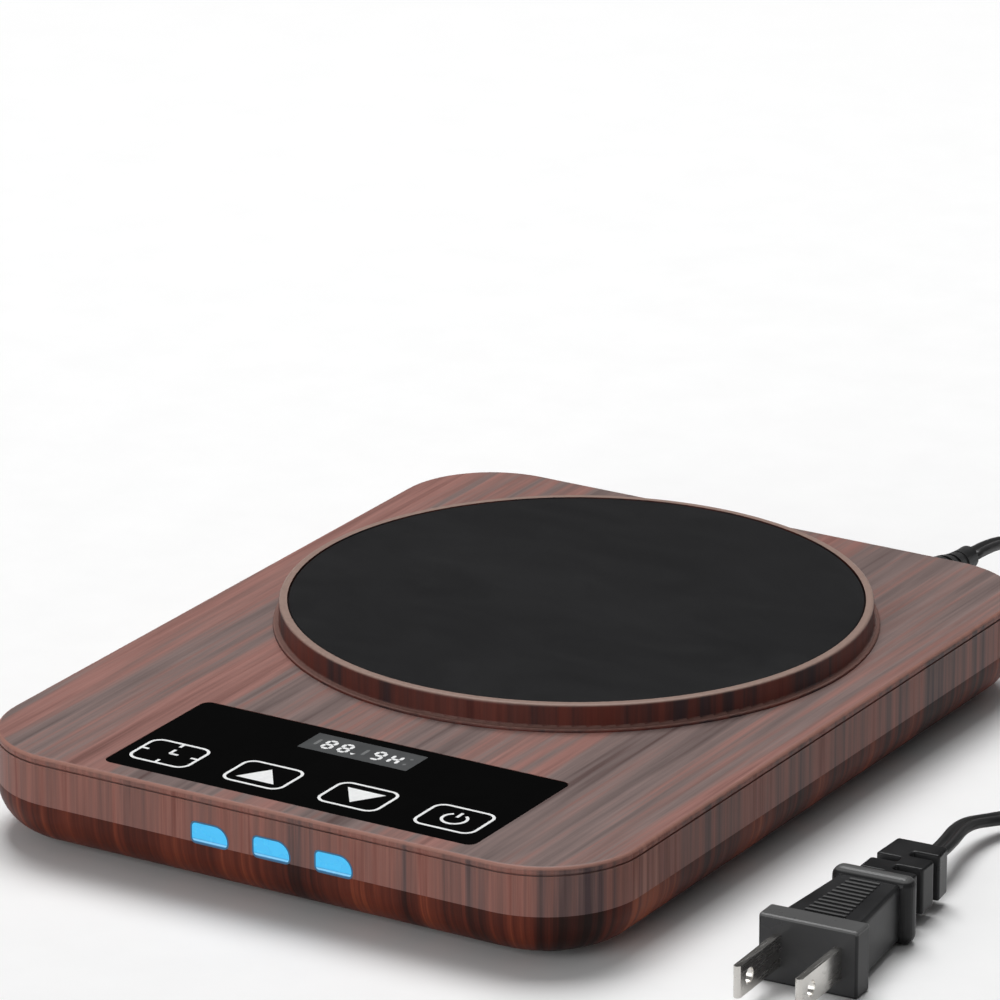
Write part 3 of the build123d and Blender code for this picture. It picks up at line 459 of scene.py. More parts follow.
def row_of(name, shape, count, pitch, material):
    """One small mesh repeated along X at an even pitch by a node tree, as one plain mesh."""
    single = new_piece(f"{name}_single", shape, material)
    tree = bpy.data.node_groups.new(f"{name}_row", "GeometryNodeTree")
    for socket_name, direction, kind in (
        ("Geometry", "OUTPUT", "NodeSocketGeometry"),
        ("Geometry", "INPUT", "NodeSocketGeometry"),
        ("Count", "INPUT", "NodeSocketInt"),
        ("Pitch", "INPUT", "NodeSocketFloat"),
        ("Material", "INPUT", "NodeSocketMaterial"),
    ):
        tree.interface.new_socket(socket_name, in_out=direction, socket_type=kind)
    given = add(tree, "NodeGroupInput").outputs
    stride = add(tree, "ShaderNodeCombineXYZ", {"X": given["Pitch"]}).outputs[0]
    spacing = {"Count": given["Count"], "Offset": stride}
    places = add(tree, "GeometryNodeMeshLine", spacing, mode="OFFSET").outputs[0]
    copies = {"Points": places, "Instance": given["Geometry"]}
    placed = add(tree, "GeometryNodeInstanceOnPoints", copies).outputs[0]
    solid = add(tree, "GeometryNodeRealizeInstances", {"Geometry": placed}).outputs[0]
    coating = {"Geometry": solid, "Material": given["Material"]}
    finished = add(tree, "GeometryNodeSetMaterial", coating).outputs[0]
    tree.links.new(finished, add(tree, "NodeGroupOutput").inputs[0])
    row = single.modifiers.new("row", "NODES")
    row.node_group = tree
    wanted = {"Count": count, "Pitch": pitch, "Material": material}
    for item in tree.interface.items_tree:
        if item.in_out == "INPUT" and item.name in wanted:
            row[item.identifier] = wanted[item.name]
    return new_piece(name, evaluated_mesh(single), material)


def soft_block(name, outline, height, edge, edge_steps):
    """A block of one outline and height, level about the plug's axis, with rounded edges."""
    shape = bmesh.new()
    raised_shape(shape, outline, -height / 2, height)
    block = new_piece(name, shape, plug_black)
    rounding = block.modifiers.new("edges", "BEVEL")
    rounding.width = edge
    rounding.segments = edge_steps
    rounding.limit_method = "ANGLE"
    rounding.angle_limit = sharp_edge
    return new_piece(name, evaluated_mesh(block), plug_black)


def tapered_block(name, widths, span, height, edge, edge_steps):
    """A block of the plug with its width at the front and at the rear of its span."""
    front, rear = (width / 2 for width in widths)
    start, end = span
    plan = [(front, start), (rear, end), (-rear, end), (-front, start)]
    return soft_block(name, plan, height, edge, edge_steps)


def notch(side, start):
    """The corners of one notch in a side of the tail, from the front to the rear."""
    mouth, root = side * tail_half_width, side * notch_inner
    end = start + notch_width
    return [(mouth, start), (root, start), (root, end), (mouth, end)]


def tail_outline():
    """The tail in plan: straight sides cut by rounded notches, left and right in turn."""
    starts = [notch_first + notch_pitch * index for index in range(notch_count)]
    left = [corner for start in starts[0::2] for corner in notch(-1, start)]
    right = [corner for start in starts[1::2] for corner in notch(1, start)]
    rear_half_width = tail_half_width - tail_taper
    corners = [
        (tail_half_width, tail_start),
        *right,
        (rear_half_width, tail_end),
        (-rear_half_width, tail_end),
        *left[::-1],
        (-tail_half_width, tail_start),
    ]
    return rounded_path(corners, tail_round)


def blend(tree, factor, first, second):
    """Two colours mixed by a factor. The mix node takes colours at 6 and 7 and gives one at 2."""
    item = add(tree, "ShaderNodeMix", {"Factor": factor, 6: first, 7: second}, data_type="RGBA")
    return item.outputs[2]


def axis_of(tree, vector, axis):
    """One axis of a place or of a direction."""
    return add(tree, "ShaderNodeSeparateXYZ", {"Vector": vector}).outputs[axis]


def plug_finish():
    """Satin black PVC: a painted highlight on the raised tops, and painted light on the front face round the
    blades.
    """
    material, tree, shader = new_finish("plug_black")
    source = add(tree, "ShaderNodeTexCoord")
    place = source.outputs["Object"]
    height = axis_of(tree, place, "Z")
    facing = axis_of(tree, source.outputs["Normal"], "Y")
    cloud = stretched_noise(tree, place, (90, 90, 90), detail=5)
    pores = stretched_noise(tree, place, (1500, 1500, 1500), detail=3)
    colour = ramp(tree, cloud, [(0.35, srgb(30, 30, 31)), (0.7, srgb(42, 42, 43))])
    # Painted highlight: the raised tops are blended toward a lighter grey by height.
    colour = blend(tree, remap(tree, height, highlight_from, highlight_to, 0, 1), colour, painted_top_highlight)
    # Painted light: faces that look forward are blended toward a lighter grey.
    colour = blend(tree, remap(tree, facing, -0.995, -0.93, 1, 0), colour, painted_front_light)
    coat(tree, shader, colour, spread(tree, cloud, 0.26, 0.38), bump(tree, pores, 0.3, 0.00003), plug_gloss)
    return material


plug_black = plug_finish()
rib_shape = bmesh.new()
rib_plan = [
    (rib_thickness, -rib_front_half),
    (rib_thickness, rib_front_half),
    (0, rib_front_half),
    (0, -rib_front_half),
]
raised_shape(rib_shape, rib_plan, -rib_height / 2, rib_height)
plug_ribs = row_of("plug_ribs", rib_shape, rib_count, rib_pitch, plug_black)
for vertex in plug_ribs.data.vertices:
    along, across, level = vertex.co
    narrowing = 1 - (1 - rib_rear_half / rib_front_half) * along / (rib_pitch * rib_count)
    vertex.co = (-across * narrowing, rib_first + along, level)

blocks = [
    tapered_block(
        "plug_flange",
        widths=(flange_width, flange_width),
        span=(0, flange_end),
        height=flange_height,
        edge=0.0005,
        edge_steps=2,
    ),
    tapered_block(
        "plug_grip",
        widths=(grip_front_width, grip_rear_width),
        span=(grip_start, grip_end),
        height=grip_height,
        edge=0.0011,
        edge_steps=4,
    ),
    tapered_block(
        "plug_bead",
        widths=(bead_width, bead_width),
        span=(bead_start, bead_end),
        height=flange_height,
        edge=0.0021,
        edge_steps=6,
    ),
    soft_block("plug_tail", tail_outline(), height=tail_height, edge=0.0005, edge_steps=3),
    tapered_block(
        "plug_core",
        widths=(core_width, core_width),
        span=(tail_start, core_end),
        height=core_height,
        edge=0.0012,
        edge_steps=3,
    ),
    plug_ribs,
]
for block in blocks[1:]:
    union = blocks[0].modifiers.new(block.name, "BOOLEAN")
    union.operation = "UNION"
    union.solver = "MANIFOLD"
    union.object = block
plug_mesh = evaluated_mesh(blocks[0])
for block in blocks[1:]:
    bpy.data.objects.remove(block)
plug_frame = Matrix((plug_sideways, plug_rearward, (0, 0, 1))).transposed().to_4x4()
plug_mesh.transform(Matrix.Translation(plug_face) @ plug_frame)
plug_overmould = new_piece("plug_overmould", plug_mesh, plug_black)
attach(plug_overmould, "root")
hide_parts("plug_body")


# Plug blades: two flat blades stamped from brass strip and nickel plated, bright, with faint
# draw lines along their length. The overmould holds them by their roots.
def metal_finish(name, colour, shade, brushing, low, high, relief=0.00001):
    """Bare or plated metal: a slightly uneven tone, with lines where the brushing is fine."""
    material, tree, shader = new_finish(name)
    place = places_on(tree)
    lines = stretched_noise(tree, place, brushing, detail=4, roughness=0.6)
    cloud = stretched_noise(tree, place, (70, 70, 70), detail=3)
    tone = ramp(tree, cloud, [(noise_low, shade), (noise_high, colour)])
    coat(tree, shader, tone, spread(tree, lines, low, high), bump(tree, lines, 0.3, relief))
    shader.inputs["Metallic"].default_value = 1
    return material


blade_metal = metal_finish(
    "blade_metal", srgb(226, 224, 220), srgb(196, 193, 188), (2600, 120, 2600), 0.16, 0.30
)
finish_node("plug_blades", blade_metal)


# Bottom tray: lower casing moulding, which curves under to the feet. Its satin plastic skin
# carries the darkest red-brown part of the wood print, in upright streaks.
def reckon(tree, operation, *values):
    """The result of one step of arithmetic."""
    return add(tree, "ShaderNodeMath", dict(enumerate(values)), operation=operation).outputs[0]


def reckon_place(tree, operation, *places):
    """The result of one step of arithmetic on places, each axis by itself."""
    return add(tree, "ShaderNodeVectorMath", dict(enumerate(places)), operation=operation).outputs[0]


def weigh(tree, first, second, share):
    """Two noises added in shares, which keeps their middle at one half."""
    part = reckon(tree, "MULTIPLY", first, 1 - share)
    return reckon(tree, "MULTIPLY_ADD", second, share, part)


def scaled(tree, colour, amount):
    """A colour made lighter or darker by a factor."""
    item = add(tree, "ShaderNodeVectorMath", {"Vector": colour, "Scale": amount}, operation="SCALE")
    return item.outputs["Vector"]


def print_streaks(tree, place, band_scale, streak_scale, grain_scale, stops, shift=(0, 0, 0)):
    """Wood print along one direction: wide bands, narrow streaks and fine dark grain."""
    bands = stretched_noise(tree, place, band_scale, detail=3, distortion=0.4, shift=shift)
    streaks = stretched_noise(tree, place, streak_scale, detail=5, roughness=0.6, shift=shift)
    grain = stretched_noise(tree, place, grain_scale, detail=4, roughness=0.65)
    colour = ramp(tree, weigh(tree, bands, streaks, streak_share), stops)
    return scaled(tree, colour, spread(tree, grain, 0.80, 1.18)), grain


streak_share = 0.45
print_gloss = 0.25
tray_gloss = print_gloss / 2
casing_half_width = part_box("bottom_tray")[1].x
casing_half_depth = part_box("bottom_tray")[1].y
corner_radius = 0.0205


def wall_place(tree, place):
    """Places moved out to the casing's wall, so that streaks run straight down its curve."""
    inset = Vector((casing_half_width - corner_radius, casing_half_depth - corner_radius, 0))
    flat = reckon_place(tree, "MULTIPLY", place, (1, 1, 0))
    core = reckon_place(tree, "MINIMUM", reckon_place(tree, "MAXIMUM", flat, tuple(-inset)), tuple(inset))
    outward = reckon_place(tree, "NORMALIZE", reckon_place(tree, "SUBTRACT", flat, core))
    wall = reckon_place(tree, "MULTIPLY_ADD", outward, (corner_radius, corner_radius, 0), core)
    level = reckon_place(tree, "MULTIPLY", place, (0, 0, 1))
    return reckon_place(tree, "ADD", wall, level)


upright_bands = (55, 55, 2)
upright_streaks = (460, 460, 9)
upright_grain = (1500, 1500, 30)
tray_print = [
    (0.38, srgb(26, 11, 8)),
    (0.44, srgb(50, 20, 14)),
    (0.50, srgb(78, 32, 21)),
    (0.56, srgb(96, 42, 27)),
    (0.63, srgb(132, 66, 42)),
]


def tray_finish():
    """Satin plastic with the dark red-brown print in upright streaks."""
    material, tree, shader = new_finish("wood_print_tray")
    place = wall_place(tree, places_on(tree))
    colour, grain = print_streaks(tree, place, upright_bands, upright_streaks, upright_grain, tray_print)
    coat(tree, shader, colour, spread(tree, grain, 0.42, 0.54), bump(tree, grain, 0.2, 0.00003), tray_gloss)
    return material


finish_node("bottom_tray", tray_finish())


# Feet: four round pads of moulded matt black rubber. Each is pressed into its recess in the
# tray, over the casing screw there.
foot_rubber = rubber_finish("foot_rubber", srgb(30, 30, 30), srgb(52, 51, 50), 0.72, 1200)
finish_node("rubber_feet", foot_rubber)


# Screws: zinc-plated steel with cheese heads, driven into moulded posts. They hold the
# casing, the plate's pan, the boards and the cord clamp.
screw_steel = metal_finish(
    "screw_steel", srgb(196, 196, 198), srgb(160, 160, 163), (900, 900, 900), 0.28, 0.42
)
for screws in ("case_screws", "pan_screws", "main_board_screws", "touch_board_screws", "clamp_screws"):
    finish_node(screws, screw_steel)


# Circuit boards: glass-fibre laminate under green solder resist, with the lighter copper
# tracks showing through, one behind the panel, one behind the windows and the main one.
def board_finish():
    """Green solder resist over tracks laid out in steps."""
    material, tree, shader = new_finish("board_green")
    place = places_on(tree)
    tracks = add(
        tree,
        "ShaderNodeTexBrick",
        {
            "Vector": place,
            "Color1": (*srgb(22, 92, 50), 1),
            "Color2": (*srgb(26, 104, 56), 1),
            "Mortar": (*srgb(60, 140, 76), 1),
            "Scale": 260,
            "Mortar Size": 0.02,
            "Brick Width": 2.6,
            "Row Height": 0.4,
        },
    )
    mottle = stretched_noise(tree, place, (400, 400, 400), detail=4)
    colour = scaled(tree, tracks.outputs["Color"], spread(tree, mottle, 0.85, 1.1))
    coat(tree, shader, colour, spread(tree, mottle, 0.28, 0.42))
    return material


board_green = board_finish()
for board in ("main_board", "touch_board", "indicator_board"):
    finish_node(board, board_green)


# Board components: moulded cases of the transformer, capacitors, chip, buzzer, header, sensor
# and display in black, and of the relay and terminals in blue. The tabs, the lamps, the cord
# clamp and the sensor's lead are white.
def moulded_finish(name, dark, light, grain, low, high, relief=0.00002):
    """Moulded plastic: a fine eroded texture and a faint unevenness of colour."""
    material, tree, shader = new_finish(name)
    place = places_on(tree)
    cloud = stretched_noise(tree, place, (120, 120, 120), detail=4)
    texture = stretched_noise(tree, place, (grain, grain, grain), detail=3)
    tone = ramp(tree, cloud, [(noise_low, dark), (noise_high, light)])
    coat(tree, shader, tone, spread(tree, texture, low, high), bump(tree, texture, 0.25, relief))
    return material


component_tones = {
    "component_black": (srgb(28, 28, 29), srgb(44, 44, 45), 1600, 0.42, 0.58),
    "component_blue": (srgb(28, 74, 150), srgb(40, 92, 172), 1400, 0.26, 0.38),
    "component_white": (srgb(214, 213, 206), srgb(232, 231, 226), 1400, 0.36, 0.5),
}
component_parts = {
    "component_black": (
        "transformer",
        "capacitors",
        "control_chip",
        "buzzer",
        "pin_header",
        "thermistor",
        "display_module",
    ),
    "component_blue": ("relay", "terminal_block"),
    "component_white": ("heater_terminals", "indicator_leds", "cord_clamp", "sensor_lead"),
}
for plastic, parts in component_parts.items():
    component_plastic = moulded_finish(plastic, *component_tones[plastic])
    for part in parts:
        finish_node(part, component_plastic)


# Leads inside the casing: the mains cord in its black jacket, held by the clamp bar on its
# way to the terminals, and two heater wires in red silicone sleeves.
lead_jacket = rubber_finish("lead_jacket", srgb(24, 24, 25), srgb(40, 40, 40), 0.42)
lead_red = moulded_finish("lead_red", srgb(140, 26, 20), srgb(172, 42, 32), 1500, 0.4, 0.55)
finish_node("mains_lead", lead_jacket)
finish_node("heater_leads", lead_red)


# Top shell: upper casing moulding in satin plastic, screwed to the tray. Its wood print runs
# from front to back in grey-brown and pink bands on top, greyer and paler there partly as painted
# sheen, upright on the sides, and with a painted highlight on the rounded edge between.
lengthwise_bands = (60, 3.2, 10)
lengthwise_streaks = (330, 7, 30)
lengthwise_grain = (1000, 26, 60)
top_print_shift = (0, 2, 0)
# Painted sheen: these top tones are paler and greyer than the sides' partly for the sheen of the light from
# above, and partly as the print itself.
top_print_and_sheen = [
    (0.35, srgb(82, 60, 57)),
    (0.41, srgb(108, 92, 89)),
    (0.47, srgb(124, 105, 101)),
    (0.52, srgb(136, 101, 94)),
    (0.57, srgb(148, 105, 97)),
    (0.65, srgb(114, 76, 69)),
]
side_print = [
    (0.36, srgb(64, 48, 50)),
    (0.42, srgb(92, 70, 67)),
    (0.48, srgb(120, 82, 74)),
    (0.54, srgb(134, 88, 78)),
    (0.60, srgb(110, 62, 53)),
    (0.67, srgb(150, 102, 88)),
]
# Painted highlight: the pale tone laid on the rounded edge between wall and top.
painted_edge_highlight = (*srgb(160, 118, 106), 1)


def shell_finish():
    """Satin plastic: print along Y where it faces up, upright elsewhere, a painted highlight on the edge
    between.
    """
    material, tree, shader = new_finish("wood_print_top")
    source = add(tree, "ShaderNodeTexCoord")
    place = source.outputs["Object"]
    facing = axis_of(tree, source.outputs["Normal"], "Z")
    flat_colour, flat_grain = print_streaks(
        tree, place, lengthwise_bands, lengthwise_streaks, lengthwise_grain, top_print_and_sheen, top_print_shift
    )
    side_colour, side_grain = print_streaks(
        tree, wall_place(tree, place), upright_bands, upright_streaks, upright_grain, side_print
    )
    lying = remap(tree, facing, 0.90, 0.98, 0, 1)
    colour = blend(tree, lying, side_colour, flat_colour)
    # Painted highlight: where the normal turns from the wall to the top, the colour is lightened.
    above_wall = remap(tree, facing, 0.2, 0.55, 0, 0.75)
    below_top = remap(tree, facing, 0.90, 0.99, 1, 0)
    colour = blend(tree, reckon(tree, "MULTIPLY", above_wall, below_top), colour, painted_edge_highlight)
    grain = weigh(tree, flat_grain, side_grain, 0.5)
    coat(tree, shader, colour, spread(tree, grain, 0.42, 0.54), bump(tree, grain, 0.2, 0.00003), print_gloss)
    return material


finish_node("top_shell", shell_finish())


# Windows: three blue diffusers moulded in one bar, lit from the small board behind them,
# each in a fine dark outline that is the painted shade of its recess.
window_width = 0.0080
window_height = 0.0039
window_count = 3
window_pitch = 0.0140
window_first = -0.0120
window_big_radius = 0.0028
window_small_radius = 0.0009
window_foot = 0.0116
window_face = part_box("top_shell")[0].y
shade_rim_width = 0.00035
shade_rim_proud = 0.00003
window_glow = 0.17


def window_finish():
    """Lit cyan diffuser: even above, with a pale strip between two blue lines at its foot."""
    material, tree, shader = new_finish("window_blue")
    place = places_on(tree)
    height = axis_of(tree, place, "Z")
    cloud = stretched_noise(tree, place, (260, 260, 260), detail=3)
    foot = remap(tree, height, window_foot, window_foot + window_height, 0, 1)
    lines = ramp(tree, foot, [
        (0.02, srgb(30, 110, 170)),
        (0.07, srgb(130, 205, 245)),
        (0.12, srgb(130, 205, 245)),
        (0.17, srgb(50, 160, 220)),
        (0.22, srgb(62, 188, 244)),
    ])
    colour = scaled(tree, lines, spread(tree, cloud, 0.97, 1.02))
    coat(tree, shader, colour, spread(tree, cloud, 0.22, 0.32))
    tree.links.new(colour, shader.inputs["Emission Color"])
    shader.inputs["Emission Strength"].default_value = window_glow
    return material


def cornered_outline(width, height, radii, steps=8):
    """A rounded rectangle round the origin, anticlockwise from its lower right corner."""
    corners = ((1, -1, -90), (1, 1, 0), (-1, 1, 90), (-1, -1, 180))
    outline = []
    for (side, level, start), radius in zip(corners, radii):
        centre = (side * (width / 2 - radius), level * (height / 2 - radius))
        for step in range(steps + 1):
            angle = radians(start + 90 * step / steps)
            outline.append((centre[0] + radius * cos(angle), centre[1] + radius * sin(angle)))
    return outline


def raised_ring(shape, outer, inner, lift):
    """A closed flat ring between two outlines of as many corners, with a small thickness."""
    (low_out, low_in), (high_out, high_in) = (
        [[shape.verts.new((x, y, z)) for x, y in outline] for outline in (outer, inner)] for z in (0, lift)
    )
    count = len(outer)
    for here in range(count):
        there = (here + 1) % count
        shape.faces.new((high_out[here], high_out[there], high_in[there], high_in[here]))
        shape.faces.new((low_in[here], low_in[there], low_out[there], low_out[here]))
        shape.faces.new((low_out[here], low_out[there], high_out[there], high_out[here]))
        shape.faces.new((low_in[there], low_in[here], high_in[here], high_in[there]))


finish_node("indicator_windows", window_finish())
# Painted shade: a thin dark teal ring laid round each window stands for the shadow in its recess.
shade_rim_shape = bmesh.new()
window_radii = (window_small_radius, window_big_radius, window_small_radius, window_small_radius)
shade_rim_radii = [radius + shade_rim_width for radius in window_radii]
raised_ring(
    shade_rim_shape,
    cornered_outline(window_width + 2 * shade_rim_width, window_height + 2 * shade_rim_width, shade_rim_radii),
    cornered_outline(window_width, window_height, window_radii),
    shade_rim_proud,
)
shade_rim_place = Vector((window_first, window_face, window_foot + window_height / 2))
shade_rim_shape.transform(Matrix.Translation(shade_rim_place) @ Matrix.Rotation(radians(90), 4, "X"))
window_recess_shade = moulded_finish("window_recess_shade", srgb(26, 84, 122), srgb(40, 104, 142), 900, 0.4, 0.5)
window_shade_rims = row_of("window_shade_rims", shade_rim_shape, window_count, window_pitch, window_recess_shade)
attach(window_shade_rims, "root")


# Heating stack: under the glass lie a red silicone bond ring, an aluminium disc, the mica
# heater, a fibre pad and the pressed steel pan that clamps them, with the safety cut-off.
silicone = rubber_finish("silicone", srgb(150, 44, 30), srgb(172, 56, 40), 0.6)
aluminium_sheet = metal_finish(
    "aluminium_sheet", srgb(214, 215, 218), srgb(190, 191, 195), (1400, 60, 1400), 0.3, 0.44
)
mica = moulded_finish("mica", srgb(176, 160, 128), srgb(206, 192, 160), 700, 0.35, 0.6)
fibre = moulded_finish("fibre", srgb(216, 214, 206), srgb(238, 237, 232), 2400, 0.85, 0.98, 0.0002)
pan_steel = metal_finish("pan_steel", srgb(186, 187, 190), srgb(158, 159, 163), (500, 500, 500), 0.3, 0.46)
finish_node("plate_gasket", silicone)
finish_node("heat_spreader", aluminium_sheet)
finish_node("heating_element", mica)
finish_node("insulation_pad", fibre)
finish_node("heater_pan", pan_steel)
finish_node("thermal_cutoff", blade_metal)


# Plate collar: raised ring round the glass, moulded in satin plastic with its thin foot
# flange and clamped by the pan's screws. The wall is dark red-brown print; the rim and the
# foot, wherever they face up, carry a painted pale highlight.
# Painted highlight: pale tones for the upward-facing rim and foot flange.
painted_rim_highlight = (*srgb(146, 122, 112), 1)
painted_foot_highlight = (*srgb(124, 92, 84), 1)
flange_level = 0.023
rim_level = 0.026
collar_bands = (50, 50, 2)
collar_streaks = (300, 300, 9)
collar_grain = (1000, 1000, 30)
collar_print_shift = (5, 2, 0)
collar_print = [
    (0.36, srgb(44, 37, 42)),
    (0.43, srgb(60, 40, 40)),
    (0.49, srgb(86, 46, 40)),
    (0.56, srgb(98, 48, 39)),
    (0.64, srgb(74, 30, 25)),
]


def collar_finish():
    """Satin plastic: upright dark streaks on the wall, a painted pale highlight wherever the ring faces up.
    """
    material, tree, shader = new_finish("wood_print_collar")
    source = add(tree, "ShaderNodeTexCoord")
    place = source.outputs["Object"]
    facing = axis_of(tree, source.outputs["Normal"], "Z")
    height = axis_of(tree, place, "Z")
    wall, grain = print_streaks(
        tree, place, collar_bands, collar_streaks, collar_grain, collar_print, collar_print_shift
    )
    rim_share = remap(tree, height, flange_level, rim_level, 0, 1)
    pale = scaled(tree, blend(tree, rim_share, painted_foot_highlight, painted_rim_highlight), spread(tree, grain, 0.9, 1.1))
    # Painted highlight: wherever the ring faces up it is blended to the pale tones.
    colour = blend(tree, remap(tree, facing, 0.35, 0.8, 0, 1), wall, pale)
    coat(tree, shader, colour, spread(tree, grain, 0.4, 0.52), bump(tree, grain, 0.2, 0.00003), print_gloss)
    return material


finish_node("plate_collar", collar_finish())


# Plate glass: flat disc of heat-proof black glass with a ground edge, bonded inside the
# collar. It is polished, with faint wiping marks that show only as a change of gloss.
plate_gloss = 0.3


def plate_finish():
    """Black glass with a soft sheen and light smears."""
    material, tree, shader = new_finish("black_plate_glass")
    place = places_on(tree)
    smear = stretched_noise(tree, place, (30, 60, 30), detail=6, roughness=0.65, distortion=1.2)
    tone = ramp(tree, smear, [(noise_low, srgb(33, 33, 34)), (noise_high, srgb(40, 40, 41))])
    coat(tree, shader, tone, spread(tree, smear, 0.16, 0.20), gloss=plate_gloss)
    return material


finish_node("plate_glass", plate_finish())


# Bond and pads under the lens: a black adhesive frame holds the lens to its ledge, and four
# conductive foam pads bring the keys up from the board.
tape_black = moulded_finish("tape_black", srgb(24, 24, 24), srgb(38, 38, 38), 2000, 0.7, 0.85)
pad_foam = moulded_finish("pad_foam", srgb(76, 76, 78), srgb(102, 102, 104), 2600, 0.85, 0.95, 0.0001)
finish_node("lens_tape", tape_black)
finish_node("touch_pads", pad_foam)


# Control lens: one piece of gloss black acrylic, flush with the top, back-printed so that
# only the keys and the display window let light through.
lens_gloss = 0.12


def lens_finish():
    """Gloss black acrylic with faint finger smears."""
    material, tree, shader = new_finish("lens_gloss")
    place = places_on(tree)
    smear = stretched_noise(tree, place, (70, 50, 50), detail=6, roughness=0.7, distortion=1)
    tone = ramp(tree, smear, [(noise_low, srgb(2, 2, 2)), (noise_high, srgb(4, 4, 4))])
    coat(tree, shader, tone, spread(tree, smear, 0.05, 0.08), gloss=lens_gloss)
    return material


finish_node("control_lens", lens_finish())


# Display window: smoked strip of the lens over the digits. The lit digits are seven-segment
# figures with a point between them, and the unlit marks beside them show dim.
lens_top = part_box("control_lens")[1].z
print_lift = 0.00003
strip_centre = (0.0009, -0.0591)
strip_size = (0.0248, 0.0082)
strip_corner = 0.0002
digit_rise = 0.00187
digit_reach = 0.00092
segment_width = 0.00072
segment_gap = 0.00010
segment_ends = {
    "a": ((-1, 1), (1, 1)),
    "b": ((1, 1), (1, 0)),
    "c": ((1, 0), (1, -1)),
    "d": ((-1, -1), (1, -1)),
    "e": ((-1, 0), (-1, -1)),
    "f": ((-1, 1), (-1, 0)),
    "g": ((-1, 0), (1, 0)),
}
digit_line = -0.05935
digits = [(-0.0065, "abcdefg"), (-0.0028, "abcdefg"), (0.0047, "abcdfg"), (0.0085, "bcefg")]
point_corners = [(-0.0003, -0.0616), (0.0003, -0.0608), (-0.0009, -0.0608)]
mark_line = -0.0592
mark_height = 0.0030
dot_x = 0.0113
dot_height = 0.0008
unlit_marks = [
    (-0.0092, mark_line, mark_height),
    (0.0016, mark_line, mark_height),
    (dot_x, -0.0578, dot_height),
    (dot_x, -0.0606, dot_height),
]


def pointed_bar(shape, start, end, width, low, lift, point=0.5):
    """A flat bar between two places, with ends drawn to a point by a share of its width."""
    start, end = Vector(start), Vector(end)
    along = (end - start).normalized()
    beside = Vector((-along.y, along.x)) * width / 2
    tip = along * width * point
    raised_shape(
        shape,
        [start, start + tip - beside, end - tip - beside, end, end - tip + beside, start + tip + beside],
        low,
        lift,
    )


def lit_finish(name, colour, shade, strength):
    """A printed mark that is lit from behind, slightly uneven."""
    material, tree, shader = new_finish(name)
    place = places_on(tree)
    cloud = stretched_noise(tree, place, (700, 700, 700), detail=2)
    tone = ramp(tree, cloud, [(noise_low, shade), (noise_high, colour)])
    tree.links.new(tone, shader.inputs["Base Color"])
    tree.links.new(tone, shader.inputs["Emission Color"])
    shader.inputs["Emission Strength"].default_value = strength
    shader.inputs["Roughness"].default_value = 0.4
    return material


strip_shape = bmesh.new()
strip_outline = [
    (x + strip_centre[0], y + strip_centre[1])
    for x, y in cornered_outline(*strip_size, [strip_corner] * 4, steps=2)
]
raised_shape(strip_shape, strip_outline, lens_top, print_lift)
strip_smoke = moulded_finish("display_smoke", srgb(64, 66, 67), srgb(78, 80, 81), 500, 0.30, 0.36)
display_strip = new_piece("display_strip", strip_shape, strip_smoke)
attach(display_strip, "root")

digit_shape = bmesh.new()
digit_floor = lens_top + print_lift
for digit_x, lit in digits:
    for letter in lit:
        ends = [
            Vector((digit_x + side * digit_reach, digit_line + level * digit_rise))
            for side, level in segment_ends[letter]
        ]
        trim = (ends[1] - ends[0]).normalized() * segment_gap
        pointed_bar(digit_shape, ends[0] + trim, ends[1] - trim, segment_width, digit_floor, print_lift)
raised_shape(digit_shape, point_corners, digit_floor, print_lift)
white_print = lit_finish("display_white", srgb(240, 241, 241), srgb(230, 231, 231), 0.06)
display_digits = new_piece("display_digits", digit_shape, white_print)
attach(display_digits, "root")

unlit_shape = bmesh.new()
for mark_x, mark_y, height in unlit_marks:
    foot, head = (mark_x, mark_y - height / 2), (mark_x, mark_y + height / 2)
    pointed_bar(unlit_shape, foot, head, segment_width, digit_floor, print_lift, point=0.3)
grey_print = lit_finish("display_grey", srgb(116, 118, 118), srgb(104, 106, 106), 0)
display_marks = new_piece("display_marks", unlit_shape, grey_print)
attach(display_marks, "root")


# Touch keys: four generic signs printed in white on the lens. Each has a rounded frame, with
# a dial, an arrow up, an arrow down or the standby sign in it.
key_count = 4
key_first = -0.0306
key_pitch = 0.0215
key_line = -0.0789
frame_width = 0.0137
frame_depth = 0.0112
frame_corner = 0.0026
frame_stroke = 0.00062
tick_length = 0.0014
hand_tips = [(0, 0.0021), (0.0019, 0)]
arrow_base = 0.0086
arrow_height = 0.0062
standby_radius = 0.0025
standby_gap = radians(34)
standby_steps = 28
standby_bar = (0.0008, 0.0031)

frame_shape = bmesh.new()
inner_width = frame_width - 2 * frame_stroke
inner_depth = frame_depth - 2 * frame_stroke
raised_ring(
    frame_shape,
    cornered_outline(frame_width, frame_depth, [frame_corner] * 4),
    cornered_outline(inner_width, inner_depth, [frame_corner - frame_stroke] * 4),
    print_lift,
)
frame_shape.transform(Matrix.Translation((key_first, key_line, lens_top)))
key_frames = row_of("key_frames", frame_shape, key_count, key_pitch, white_print)
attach(key_frames, "root")

sign_shape = bmesh.new()
dial_x, up_x, down_x, standby_x = (key_first + key_pitch * place for place in range(key_count))


def sign_bar(start, end):
    """A square-ended stroke of a sign, as wide as the frames' own."""
    pointed_bar(sign_shape, start, end, frame_stroke, lens_top, print_lift, point=0)


